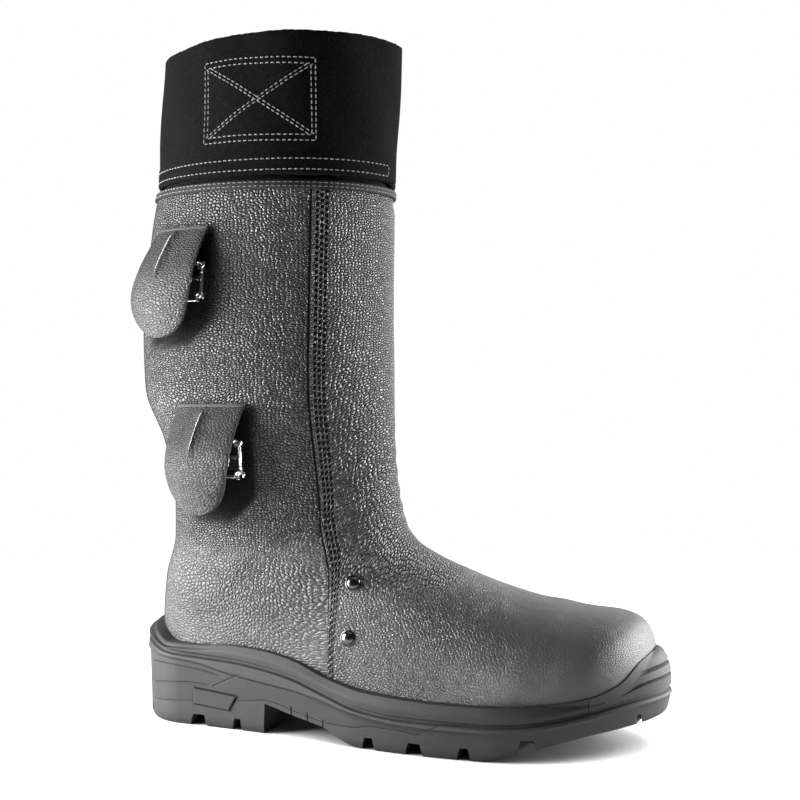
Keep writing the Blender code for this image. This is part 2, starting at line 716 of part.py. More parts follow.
class Shaft:
    """Outer face of the upper, for pieces that lie on it."""

    def __init__(self, grid, normals):
        outside = lapped_grid(grid, normals)
        numbers, count = grid_numbers(len(grid), len(grid[0]), 0)
        self.tree = BVHTree.FromPolygons(grid_points(outside), grid_faces(numbers))
        self.rows = outside

    def around(self, z, degrees, clearance):
        """Point and outward direction at a height and an angle from the front over the outer side."""
        turn = math.radians(degrees)
        outward = Vector((math.cos(turn), -math.sin(turn), 0))
        axis = Vector((SHAFT_AXIS, 0, z))
        hit = self.tree.ray_cast(axis + outward * 300, -outward)
        normal = hit[1] if hit[1].dot(outward) > 0 else -hit[1]
        return hit[0] + normal * clearance, normal

    def column_angles(self, z):
        """Angles of the wall's columns on the row nearest to a height."""
        row = min(self.rows, key=lambda points: abs(points[0].z - z) + abs(points[SIDE_COLUMNS].z - z))
        return [math.degrees(math.atan2(-point.y, point.x - SHAFT_AXIS)) for point in row[:-1]]

    def beside(self, x, z, side):
        """Point and outward direction on one side of the foot."""
        hit = self.tree.ray_cast(Vector((x, side * 300, z)), Vector((0, -side, 0)))
        normal = hit[1] if hit[1].y * side > 0 else -hit[1]
        return hit[0], normal

    def height_over(self, seat, outward, places):
        """Highest rise of the surface over a flat seat, at the given places round it."""
        away = 30.0
        rises = [away - self.tree.ray_cast(seat + place + outward * away, -outward)[3] for place in places]
        return max(rises)


def tube_ring(name, profiles, closed, finish):
    """Solid swept through matching closed profiles, with end caps unless it closes on itself."""
    points = [point for profile in profiles for point in profile]
    size = len(profiles[0])
    count = len(profiles)
    faces = []
    for i in range(count if closed else count - 1):
        low = list(range(i * size, (i + 1) * size))
        high = [((i + 1) % count) * size + k for k in range(size)]
        faces += rim_faces(low, high)
    if not closed:
        faces.append(list(range(size)))
        faces.append(list(range((count - 1) * size, count * size))[::-1])
    return mesh_object(name, points, faces, finish)


def make_binding(shaft):
    """Leather strip round the shaft just below the cuff, with rolled edges."""
    profiles = []
    rolled = 0.7
    for degrees in shaft.column_angles(BINDING_BOTTOM):
        profile = []
        for z, push in ((BINDING_BOTTOM, GAP), (BINDING_BOTTOM, BINDING_THICK - rolled),
                        (BINDING_BOTTOM + rolled, BINDING_THICK), (BINDING_TOP - rolled, BINDING_THICK),
                        (BINDING_TOP, BINDING_THICK - rolled), (BINDING_TOP, GAP)):
            point, normal = shaft.around(z, degrees, GAP + push)
            profile.append(Vector((point.x, point.y, z)))
        profiles.append(profile)
    return tube_ring("top_binding", profiles, True, "grain_leather")


CUFF_START = -7.0
CUFF_OVERLAP = 50.0
CUFF_SEAT = 0.9


def cuff_point(degrees, z, push):
    """Point of the cuff's plan oval, leaning forward with height and dropping at the back."""
    turn = math.radians(degrees)
    half_length = 65.8
    half_width = 51.0
    centre = 72.2 + CUFF_LEAN * (z - CUFF_BOTTOM)
    share = (z - CUFF_BOTTOM) / (CUFF_TOP - CUFF_BOTTOM)
    height = z - CUFF_DROP * share * max(0.0, -math.cos(turn))
    normal = Vector((math.cos(turn) / half_length, -math.sin(turn) / half_width, 0)).normalized()
    place = Vector((centre + half_length * math.cos(turn), -half_width * math.sin(turn), height))
    return place + normal * push


def make_cuff():
    """Suede wrap: one strip round the collar whose outer end laps over its inner end at the front."""
    stations = 54
    sweep = 360 + CUFF_OVERLAP
    heights = [CUFF_BOTTOM, CUFF_BOTTOM + 1.2, CUFF_BOTTOM + 12, CUFF_TOP - 1.2, CUFF_TOP]
    swell = [-0.9, 0.3, 0.0, 0.0, -0.9]
    profiles = []
    for i in range(stations + 1):
        travel = sweep * i / stations
        degrees = CUFF_START + travel
        lift = (CUFF_THICK + 2 * GAP) * (1 - ease(CUFF_OVERLAP + 6, CUFF_OVERLAP + 48, travel))
        inside = [cuff_point(degrees, z, CUFF_SEAT + lift) for z in heights]
        outside = [cuff_point(degrees, z, CUFF_SEAT + lift + CUFF_THICK + more)
                   for z, more in zip(heights, swell)]
        profiles.append(inside + outside[::-1])
    return tube_ring("cuff", profiles, False, "suede")


def make_cover(shaft, cover):
    """Tongue of leather held along its top edge, bulging from the shaft and tucked in at its round end."""
    down_steps = 11
    half_steps = 5
    middle, outward = shaft.around(cover.top, cover.around, 0)
    outward = Vector((outward.x, outward.y, 0)).normalized()
    layers = ([], [])
    for i in range(down_steps + 1):
        q = i / down_steps
        z = cover.top - cover.length * math.sin(0.5 * math.pi * q) ** 1.15
        fall = (cover.top - z) / cover.length
        full = cover.top_width + (cover.lobe_width - cover.top_width) * ease(0.0, COVER_LOBE, fall)
        tip = max(0.0, 1 - max(0.0, (fall - 0.55) / 0.45) ** 2.2)
        half = max(0.5 * full * math.sqrt(tip), 4.0)
        rise = math.sin(0.5 * math.pi * min(fall / COVER_CREST, 1.0))
        tuck = COVER_TUCK * ease(COVER_CREST, 1.0, fall)
        stand = GAP + cover.stand * (rise - tuck)
        rows = ([], [])
        for j in range(-half_steps, half_steps + 1):
            across = half * j / half_steps + cover.lean * min(fall / COVER_LOBE, 1.0)
            degrees = cover.around + math.degrees(across / COVER_RADIUS)
            point, normal = shaft.around(z, degrees, GAP)
            ridge = math.exp(-((across / COVER_CREASE_WIDTH) ** 2))
            crease = COVER_CREASE_RISE * ridge * (1 - ease(0.1, 0.75, fall))
            low = point + outward * stand
            rows[0].append(low)
            rows[1].append(low + normal * (FLAP_THICK + crease))
        for layer, row in zip(layers, rows):
            layer.append(row)
    width = 2 * half_steps + 1
    size = width * (down_steps + 1)
    points = [point for layer in layers for row in layer for point in row]
    low = [[i * width + j for j in range(width)] for i in range(down_steps + 1)]
    high = [[size + number for number in row] for row in low]
    edge = low[0] + [row[-1] for row in low[1:]] + low[-1][-2::-1] + [row[0] for row in low[-2:0:-1]]
    faces = grid_faces(low) + grid_faces(high, flip=True)
    faces += rim_faces(edge, [size + number for number in edge])
    return mesh_object("flap_" + cover.name, points, faces, "grain_leather")


def wire(name, points, closed):
    """Round wire along a few points in millimetres."""
    curve = bpy.data.curves.new(name, 'CURVE')
    curve.dimensions = '3D'
    curve.bevel_depth = WIRE_RADIUS * MM
    curve.bevel_resolution = 2
    curve.use_fill_caps = True
    spline = curve.splines.new('POLY')
    spline.points.add(len(points) - 1)
    spline.use_cyclic_u = closed
    for place, point in zip(spline.points, points):
        place.co = (point.x * MM, point.y * MM, point.z * MM, 1.0)
    item = bpy.data.objects.new(name, curve)
    bpy.context.collection.objects.link(item)
    curve.materials.append(finish_material("bright_steel"))
    return item


def rounded_rectangle(width, height, corner, steps):
    """Plan points of a rectangle with round corners."""
    points = []
    for turn, sx, sy in ((0, 1, 1), (90, -1, 1), (180, -1, -1), (270, 1, -1)):
        for i in range(steps + 1):
            angle = math.radians(turn + 90 * i / steps)
            points.append((sx * (width / 2 - corner) + corner * math.cos(angle),
                           sy * (height / 2 - corner) + corner * math.sin(angle)))
    return points


def make_buckle(shaft, buckle):
    """Strap tip on the shaft, wire frame over it and the closed lever on the frame."""
    middle, outward = shaft.around(buckle.z, buckle.around, 0)
    up = (Vector((0, 0, 1)) - outward * outward.z).normalized()
    rear = outward.cross(up)
    if rear.x > 0:
        rear = -rear

    def place(back, height, push):
        return middle + rear * back + up * height + outward * push

    profiles = []
    for back in (-STRAP_LENGTH / 2, -STRAP_LENGTH / 6, STRAP_LENGTH / 6, STRAP_LENGTH / 2):
        degrees = buckle.around + math.degrees((back + STRAP_BACK) / COVER_RADIUS)
        profile = []
        for height, push in ((-0.5, 0.0), (0.5, 0.0), (0.5, STRAP_THICK), (-0.5, STRAP_THICK)):
            point, normal = shaft.around(buckle.z + height * STRAP_WIDTH, degrees, 2 * GAP + push)
            profile.append(point)
        profiles.append(profile)
    strap = tube_ring("buckle_strap_" + buckle.name, profiles, False, "grain_leather")
    frame_push = 3 * GAP + STRAP_THICK + WIRE_RADIUS + GAP
    outline = rounded_rectangle(BUCKLE_WIDTH, BUCKLE_HEIGHT, 4.0, 3)
    frame = wire("buckle_frame_" + buckle.name, [place(x, y, frame_push) for x, y in outline], True)
    lever_push = frame_push + 2 * WIRE_RADIUS + GAP
    route = [(-7.5, 1.0), (-2.0, 1.0), (2.0, -1.5), (4.0, -6.0), (5.0, -12.0), (4.0, -15.0), (1.5, -16.0)]
    lever = wire("buckle_lever_" + buckle.name, [place(x, y, lever_push) for x, y in route], False)
    return strap, frame, lever


def make_rivet(shaft, rivet, side):
    """Low dome seated on the upper."""
    rings = 4
    sides = 14
    seat, outward = shaft.beside(rivet.x, rivet.z, side)
    first = Vector((1, 0, 0)) - outward * outward.x
    first.normalize()
    second = outward.cross(first)
    angles = [2 * math.pi * k / sides for k in range(sides)]
    spokes = [(first * math.cos(angle) + second * math.sin(angle)) * RIVET_RADIUS for angle in angles]
    places = spokes + [spoke * 0.5 for spoke in spokes]
    seat = seat + outward * (2 * GAP + max(0.0, shaft.height_over(seat, outward, places)))
    points = []
    for i in range(rings):
        turn = 0.5 * math.pi * i / rings
        points += [seat + outward * RIVET_HEIGHT * math.sin(turn) + spoke * math.cos(turn) for spoke in spokes]
    points.append(seat + outward * RIVET_HEIGHT)
    faces = [list(range(sides))]
    for i in range(rings - 1):
        faces += rim_faces(list(range(i * sides, (i + 1) * sides)), list(range((i + 1) * sides, (i + 2) * sides)))
    top = rings * sides
    faces += [[top - sides + k, top - sides + (k + 1) % sides, top] for k in range(sides)]
    name = "rivet_%s_%s" % ("outer" if side < 0 else "inner", rivet.name)
    return mesh_object(name, points, faces, "dark_steel")


def seat_on_origin(items):
    """Hang the pieces and cutters under one empty that puts the bottom centre at the origin."""
    bpy.context.view_layer.update()
    graph = bpy.context.evaluated_depsgraph_get()
    places = []
    for item in items:
        shape = item.evaluated_get(graph)
        places += [vertex.co.copy() for vertex in shape.to_mesh().vertices]
        shape.to_mesh_clear()
    low = [min(place[k] for place in places) for k in range(3)]
    high = [max(place[k] for place in places) for k in range(3)]
    root = bpy.data.objects.new("foundry_boot", None)
    bpy.context.collection.objects.link(root)
    for item in list(bpy.context.collection.objects):
        if item is not root:
            item.parent = root
    root.location = (-(low[0] + high[0]) / 2, -(low[1] + high[1]) / 2, -low[2])


def main():
    """Build every piece of the boot."""
    clear_scene()
    grid = upper_grid()
    normals = grid_normals(grid)
    shaft = Shaft(grid, normals)
    items = [make_upper(grid, normals), make_insole(grid), *make_sole(make_last_cutter(grid, normals))]
    items += [make_binding(shaft), make_cuff()]
    items += [make_cover(shaft, cover) for cover in COVERS]
    for buckle in BUCKLES:
        items += make_buckle(shaft, buckle)
    for rivet in RIVETS:
        items += [make_rivet(shaft, rivet, side) for side in (-1, 1)]
    seat_on_origin(items)


main()
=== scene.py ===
"""Looks of the foundry boot: grained leather, suede wrap cuff, moulded sole, covered buckles and its stage.

Sizes are in millimetres of the boot itself: X runs to the toe, +Y to the inner side of the foot, Z up from
the ground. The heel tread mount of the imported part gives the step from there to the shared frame.
"""
import json
import math
from collections import namedtuple

import bmesh
import bpy
import numpy as np
from bpy.props import FloatProperty, FloatVectorProperty, PointerProperty
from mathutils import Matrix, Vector
from mathutils.bvhtree import BVHTree


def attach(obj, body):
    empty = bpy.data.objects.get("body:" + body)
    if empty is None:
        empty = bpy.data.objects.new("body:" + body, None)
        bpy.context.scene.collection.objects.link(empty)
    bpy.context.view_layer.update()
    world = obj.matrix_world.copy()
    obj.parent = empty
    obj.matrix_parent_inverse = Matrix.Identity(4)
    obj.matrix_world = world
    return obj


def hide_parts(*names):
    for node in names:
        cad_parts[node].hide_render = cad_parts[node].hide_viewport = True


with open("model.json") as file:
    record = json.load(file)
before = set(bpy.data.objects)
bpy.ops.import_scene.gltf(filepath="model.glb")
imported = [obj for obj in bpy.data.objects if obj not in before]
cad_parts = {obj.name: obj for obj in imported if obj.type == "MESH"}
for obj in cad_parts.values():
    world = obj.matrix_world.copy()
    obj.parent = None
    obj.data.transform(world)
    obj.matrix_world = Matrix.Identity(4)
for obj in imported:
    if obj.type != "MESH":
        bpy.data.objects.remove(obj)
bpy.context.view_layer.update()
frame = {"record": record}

bl_info = {
    "name": "Foundry boot looks",
    "version": (1, 0, 0),
    "blender": (4, 5, 0),
    "location": "View3D > Sidebar > Foundry boot",
    "description": "Dresses the packed foundry boot in leather, suede, rubber and steel",
    "category": "Object",
}

MM = 0.001
HEEL_MOUNT = (24.0, -18.0, 0.0)


def frame_shift():
    """Step in millimetres from the boot's own sizes to the shared frame."""
    for mount in frame["record"]["mounts"]:
        if mount["name"] == "heel_tread":
            return np.array(mount["pos_m"]) / MM - np.array(HEEL_MOUNT)
    raise RuntimeError("The packed part has no heel tread mount")


SHIFT = frame_shift()

# Lasted form of the upper
HEEL_BACK = 7.5
HEEL_ROUND = 36.0
LAP_STEP = 1.0
WALL = 2.2
SHAFT_AXIS = 72.0

Feather = namedtuple("Feather", "x lateral medial z")
FEATHER = [
    Feather(7.5, 34.0, 33.5, 31.0),
    Feather(35, 34.5, 33.5, 30.2),
    Feather(60, 36.0, 32.5, 29.8),
    Feather(90, 39.0, 31.0, 28.6),
    Feather(120, 43.0, 31.5, 25.4),
    Feather(150, 48.0, 37.0, 22.8),
    Feather(180, 50.5, 43.5, 21.9),
    Feather(205, 49.5, 46.6, 21.9),
    Feather(225, 46.0, 47.4, 22.8),
    Feather(240, 42.0, 46.6, 24.6),
]

# Sections from the toe tip to the collar; a back height of None lies on the feather line
Section = namedtuple("Section", "name front_x front_z back_x back_z lateral medial ridge widest round")
SECTIONS = [
    Section("toe_edge", 287.0, 33.5, 240.0, None, 42.1, 46.7, 6.5, 0.04, 2.00),
    Section("toe_low", 287.6, 45.0, 238.0, None, 43.6, 48.2, 6.5, 0.10, 2.08),
    Section("toe_front", 285.6, 56.0, 235.0, None, 45.2, 49.0, 6.3, 0.16, 2.16),
    Section("toe_brow", 280.0, 64.6, 231.0, None, 46.8, 49.4, 6.0, 0.22, 2.24),
    Section("toe_top", 269.0, 68.6, 226.0, None, 48.4, 49.6, 5.5, 0.27, 2.28),
    Section("toe_cap", 251.0, 70.4, 217.0, None, 50.8, 49.6, 4.5, 0.30, 2.26),
    Section("ball", 229.0, 73.4, 203.0, None, 52.6, 49.0, 3.0, 0.32, 2.20),
    Section("vamp", 206.0, 79.6, 185.0, None, 53.2, 46.5, 1.5, 0.33, 2.12),
    Section("instep_low", 186.0, 87.0, 165.0, None, 52.0, 42.8, 0.5, 0.34, 2.05),
    Section("instep", 168.5, 94.4, 142.0, None, 49.4, 40.0, 0.0, 0.34, 2.00),
    Section("instep_high", 155.4, 102.6, 115.0, None, 46.4, 38.6, 0.0, 0.36, 2.00),
    Section("ankle_front", 149.0, 113.0, 87.0, None, 44.0, 39.4, 0.0, 0.40, 2.00),
    Section("ankle_mid", 146.0, 125.0, 58.0, None, 43.0, 41.2, 0.0, 0.43, 2.00),
    Section("heel_side", 144.2, 138.0, 31.0, None, 43.2, 42.6, 0.0, 0.45, 2.00),
    Section("heel_point", 143.2, 149.0, 7.5, None, 44.2, 44.0, 0.0, 0.47, 2.00),
    Section("heel_curve", 142.4, 160.0, 5.0, 52.0, 45.4, 45.4, 0.0, 0.49, 2.00),
    Section("counter", 141.9, 171.0, 7.2, 76.0, 47.2, 47.2, 0.0, 0.50, 2.00),
    Section("ankle_back", 141.4, 182.0, 13.6, 100.0, 49.8, 49.8, 0.0, 0.50, 2.00),
    Section("shaft_low", 141.0, 194.0, 14.0, 125.0, 52.8, 52.8, 0.0, 0.50, 2.00),
    Section("calf_low", 140.7, 208.0, 7.5, 155.0, 55.6, 55.6, 0.0, 0.50, 2.00),
    Section("calf", 140.5, 224.0, -5.0, 185.0, 57.0, 57.0, 0.0, 0.50, 2.00),
    Section("calf_high", 140.6, 242.0, -6.4, 218.0, 57.0, 57.0, 0.0, 0.50, 2.00),
    Section("shaft_high", 140.9, 262.0, -4.0, 250.0, 56.0, 56.0, 0.0, 0.50, 2.00),
    Section("shaft_top", 141.2, 284.0, 0.4, 284.0, 54.8, 54.8, 0.0, 0.50, 2.00),
    Section("collar", 141.2, 297.6, 3.6, 297.6, 54.0, 54.0, 0.0, 0.50, 2.00),
    Section("neck", 137.2, 299.8, 6.0, 299.8, 51.0, 51.0, 0.0, 0.50, 2.00),
    Section("shaft_end", 139.8, 330.0, 8.6, 330.0, 51.0, 51.0, 0.0, 0.50, 2.00),
]
HEEL_SECTION = 14
TOP_SECTION = 23

# Edge of the front panel over the rear panel: its place along the foot at each height
Lap = namedtuple("Lap", "z x")
LAP = [
    Lap(20, 124), Lap(60, 124.5), Lap(85, 123), Lap(115, 116), Lap(180, 113), Lap(294, 114),
    Lap(335, 115),
]
LAP_FADE_LOW = (24, 33)
LAP_FADE_HIGH = (286, 291)

# Soft creases at the bend of the ankle: height at the shin, height at the lap, width and depth
Crease = namedtuple("Crease", "shin_z lap_z width depth")
CREASES = [
    Crease(160, 136, 5.0, 0.25),
    Crease(147, 124, 4.4, 0.42),
    Crease(136, 114, 4.0, 0.55),
    Crease(126, 104, 3.6, 0.62),
    Crease(117, 95, 3.4, 0.60),
    Crease(109, 86, 3.4, 0.50),
]
CREASE_REACH = 34.0
CREASE_RIDGE = 0.55
CREASE_RIDGE_STEP = 1.6
CREASE_FADE_LAP = (2, 16)
CREASE_FADE_FOOT = (152, 176)

# Rear edge of the toe cap under the leather, as a low ridge round the foot
CAP_EDGE_X = 229.0
CAP_EDGE_Z = 45.0
CAP_EDGE_SLOPE = 0.30
CAP_EDGE_WIDTH = 7.0
CAP_EDGE_RISE = 0.55
CAP_HOLLOW = 0.6
CAP_HOLLOW_STEP = 2.4
CAP_HOLLOW_WIDTH = 1.6
CAP_FADE = (34, 44)

# Resolution of the dressed upper
FOOT_ROWS = 118
SHAFT_ROWS = 84
NECK_ROWS = 10
HEEL_CROWDING = 1.25
REAR_COLUMNS = 34
FRONT_COLUMNS = 40
SECTION_SAMPLES = 260
LAP_HALF_WIDTH = 0.22
LAP_LOWEST = 0.02
LAP_EASE_ROWS = 4.0
LAP_PLAIN = 0.42
RAY_START = 300.0
FAR_AWAY = 99.0


def smooth_curve(keys, values):
    """Monotone cubic through the stations of a table, held flat beyond both ends."""
    keys = np.array(keys, dtype=float)
    values = np.array(values, dtype=float)
    step = np.diff(keys)
    slope = np.diff(values) / step
    tangent = np.zeros(len(keys))
    rising = slope[:-1] * slope[1:] > 0
    total = np.where(rising, slope[:-1] + slope[1:], 1.0)
    tangent[1:-1] = np.where(rising, 2 * slope[:-1] * slope[1:] / total, 0.0)
    tangent[0] = slope[0]
    tangent[-1] = slope[-1]

    def value(key):
        key = np.clip(key, keys[0], keys[-1])
        i = np.clip(np.searchsorted(keys, key, side="right") - 1, 0, len(step) - 1)
        t = (key - keys[i]) / step[i]
        start = (1 + 2 * t) * (1 - t) ** 2 * values[i] + t * (1 - t) ** 2 * step[i] * tangent[i]
        end = t * t * (3 - 2 * t) * values[i + 1] + t * t * (t - 1) * step[i] * tangent[i + 1]
        return start + end

    return value


def column(table, key, name):
    """Smooth curve of one column of a table over another."""
    return smooth_curve([getattr(row, key) for row in table], [getattr(row, name) for row in table])


def ease(low, high, value):
    """Smooth step from 0 at low to 1 at high."""
    t = np.clip((value - low) / (high - low), 0.0, 1.0)
    return t * t * (3 - 2 * t)


def bump(value, width):
    """Soft hump of height 1 round zero."""
    return np.exp(-(value / width) ** 2)


feather_z = column(FEATHER, "x", "z")
feather_lateral = column(FEATHER, "x", "lateral")
feather_medial = column(FEATHER, "x", "medial")
lap_x = column(LAP, "z", "x")


def heel_arc(x):
    """Narrowing of the feather line round the heel."""
    reach = max(0.0, (HEEL_BACK + HEEL_ROUND - x) / HEEL_ROUND)
    return math.sqrt(max(0.0, 1 - reach * reach))


def section_curves():
    """Curve of each section column over the section's number, with back heights on the feather line."""
    rows = [row if row.back_z is not None else row._replace(back_z=float(feather_z(row.back_x)))
            for row in SECTIONS]
    return {name: smooth_curve(range(len(rows)), [getattr(row, name) for row in rows])
            for name in Section._fields[1:]}


CURVES = section_curves()


def section_line(u, side, places):
    """Points of section u on one side; places run from the lower edge (0) to the ridge (1)."""
    size = {name: float(curve(u)) for name, curve in CURVES.items()}
    if u < HEEL_SECTION:
        size["back_z"] = float(feather_z(size["back_x"]))
    front = np.array((size["front_x"], 0, size["front_z"]))
    back = np.array((size["back_x"], 0, size["back_z"]))
    height = np.linalg.norm(front - back)
    half = size["lateral"] + size["ridge"] if side < 0 else size["medial"] - size["ridge"]
    foot_half = feather_lateral if side < 0 else feather_medial
    edge = 0.0
    if u < HEEL_SECTION:
        edge = float(foot_half(size["back_x"])) * heel_arc(size["back_x"]) - side * size["ridge"]
    widest = size["widest"]
    end = math.acos(min(edge / half, 0.995))
    low_turn = end * (1 - np.minimum(places, widest) / widest)
    high_turn = 0.5 * math.pi * (np.maximum(places, widest) - widest) / (1 - widest)
    power = 2 / size["round"]
    low = places < widest
    across = half * np.where(low, np.cos(low_turn), np.maximum(np.cos(high_turn), 0.0) ** power)
    up = height * np.where(low, widest * (1 - np.sin(low_turn) / math.sin(end)),
                           widest + (1 - widest) * np.sin(high_turn) ** power)
    points = back + (front - back) / height * up[:, None]
    points[:, 1] = size["ridge"] + side * across
    return points


def run_along(points):
    """Length along a line of points, from 0 at its start."""
    return np.concatenate(([0.0], np.cumsum(np.linalg.norm(np.diff(points, axis=0), axis=1))))


def lap_run(points, run):
    """Length along a section line where the lap edge crosses it, or None ahead of the lap."""
    ahead = points[:, 0] - lap_x(points[:, 2])
    if ahead[0] >= 0:
        return None
    i = int(np.argmax(ahead >= 0))
    share = -ahead[i - 1] / (ahead[i] - ahead[i - 1])
    return run[i - 1] + share * (run[i] - run[i - 1])


def side_line(u, side, first_lapped):
    """Points of one side of section u at its columns, two of them beside the lap edge."""
    points = section_line(u, side, np.linspace(0, 1, SECTION_SAMPLES))
    run = run_along(points)
    edge = lap_run(points, run)
    if edge is None:
        edge = run[-1] * LAP_PLAIN * ease(0, LAP_EASE_ROWS, first_lapped - u)
    edge = max(edge, LAP_LOWEST * run[-1])
    rear = np.linspace(0, edge - LAP_HALF_WIDTH, REAR_COLUMNS + 1)
    front = np.linspace(edge + LAP_HALF_WIDTH, run[-1], FRONT_COLUMNS + 1)
    wanted = np.concatenate((rear, front))
    return np.stack([np.interp(wanted, run, points[:, k]) for k in range(3)], axis=1)


def upper_rows():
    """Section numbers of the upper's rows, one of them on the heel point."""
    foot = HEEL_SECTION * (1 - (1 - np.arange(FOOT_ROWS) / FOOT_ROWS) ** HEEL_CROWDING)
    shaft = np.linspace(HEEL_SECTION, TOP_SECTION, SHAFT_ROWS, endpoint=False)
    neck = np.linspace(TOP_SECTION, len(SECTIONS) - 1, NECK_ROWS)
    return np.concatenate((foot, shaft, neck))


def first_lapped_row(rows, side):
    """First section that the lap edge crosses on one side."""
    for u in rows:
        edge = section_line(u, side, np.zeros(1))[0]
        if edge[0] < lap_x(edge[2]):
            return u
    raise RuntimeError("The lap edge crosses no section")


def upper_grid():
    """Smooth form of the upper as rows of points from the outer edge over the ridge to the inner edge."""
    rows = upper_rows()
    first = {side: first_lapped_row(rows, side) for side in (-1, 1)}
    lines = []
    for u in rows:
        outer = side_line(u, -1, first[-1])
        inner = side_line(u, 1, first[1])
        lines.append(np.concatenate((outer, inner[-2::-1])))
    return np.array(lines)


def grid_normals(grid):
    """Outward directions of a grid whose rows close into loops after the heel point."""
    ahead = np.gradient(grid, axis=0)
    across = np.gradient(grid, axis=1)
    closing = grid[FOOT_ROWS:, 1] - grid[FOOT_ROWS:, -2]
    across[FOOT_ROWS:, 0] = closing
    across[FOOT_ROWS:, -1] = closing
    normals = np.cross(across, ahead)
    return normals / np.linalg.norm(normals, axis=2, keepdims=True)


def crease_relief(points):
    """Soft troughs and ridges round the front of the ankle, fading out at the lap and along the foot."""
    x = points[..., 0]
    z = points[..., 2]
    lap = lap_x(z)
    share = ease(0, CREASE_REACH, x - lap)
    relief = np.zeros(x.shape)
    for crease in CREASES:
        line = crease.lap_z + (crease.shin_z - crease.lap_z) * share
        away = z - line
        relief -= crease.depth * bump(away, crease.width)
        relief += CREASE_RIDGE * crease.depth * bump(away - CREASE_RIDGE_STEP * crease.width, crease.width)
    fade = ease(*CREASE_FADE_LAP, x - lap) * (1 - ease(*CREASE_FADE_FOOT, x))
    return relief * fade


def cap_relief(points):
    """Low ridge where the toe cap ends under the leather."""
    edge = CAP_EDGE_X + CAP_EDGE_SLOPE * (points[..., 2] - CAP_EDGE_Z)
    away = points[..., 0] - edge
    ridge = CAP_EDGE_RISE * bump(away, CAP_EDGE_WIDTH)
    past = away - CAP_HOLLOW_STEP * CAP_EDGE_WIDTH
    hollow = CAP_HOLLOW * CAP_EDGE_RISE * bump(past, CAP_HOLLOW_WIDTH * CAP_EDGE_WIDTH)
    return (ridge - hollow) * ease(*CAP_FADE, points[..., 2])


def lap_relief(points):
    """Step of the front panel over the rear panel."""
    z = points[..., 2]
    ahead = points[..., 0] > lap_x(z)
    rise = ease(*LAP_FADE_LOW, z) * (1 - ease(*LAP_FADE_HIGH, z))
    return LAP_STEP * np.where(ahead, rise, 0.0)


def grid_numbers(grid, first=0):
    """Vertex numbers of a grid whose rows after the heel point share their first and last point."""
    numbers = []
    count = first
    for i in range(len(grid)):
        width = grid.shape[1] - (1 if i >= FOOT_ROWS else 0)
        line = list(range(count, count + width))
        count += width
        if i >= FOOT_ROWS:
            line.append(line[0])
        numbers.append(line)
    return numbers, count


def grid_points(grid):
    """Points or values of a grid in the order of its vertex numbers."""
    return np.concatenate([row[:-1] if i >= FOOT_ROWS else row for i, row in enumerate(grid)])


def grid_faces(numbers, flip=False):
    """Quads between neighbouring rows."""
    faces = []
    for low, high in zip(numbers, numbers[1:]):
        for j in range(len(low) - 1):
            quad = (low[j], low[j + 1], high[j + 1], high[j])
            faces.append(quad[::-1] if flip else quad)
    return faces


def lower_edge(numbers):
    """Vertex loop of the open underside: round the toe, then along both sides to the heel point."""
    inner_side = [numbers[i][-1] for i in range(1, FOOT_ROWS + 1)]
    outer_side = [numbers[i][0] for i in range(FOOT_ROWS - 1, 0, -1)]
    return numbers[0] + inner_side + outer_side


def loop_faces(first, second):
    """Quads that join two matching closed loops."""
    count = len(first)
    return [(first[i], first[(i + 1) % count], second[(i + 1) % count], second[i]) for i in range(count)]


def ring_numbers(rings, size, first=0):
    """Vertex numbers of rings of one size, ring after ring."""
    return [list(range(first + k * size, first + (k + 1) * size)) for k in range(rings)]


def stacked_faces(loops):
    """Quads between neighbouring closed loops."""
    faces = []
    for low, high in zip(loops, loops[1:]):
        faces += loop_faces(low, high)
    return faces


def grid_rim(rows):
    """Vertex loop round the edge of an open grid."""
    return rows[0] + [row[-1] for row in rows[1:]] + rows[-1][-2::-1] + [row[0] for row in rows[-2:0:-1]]


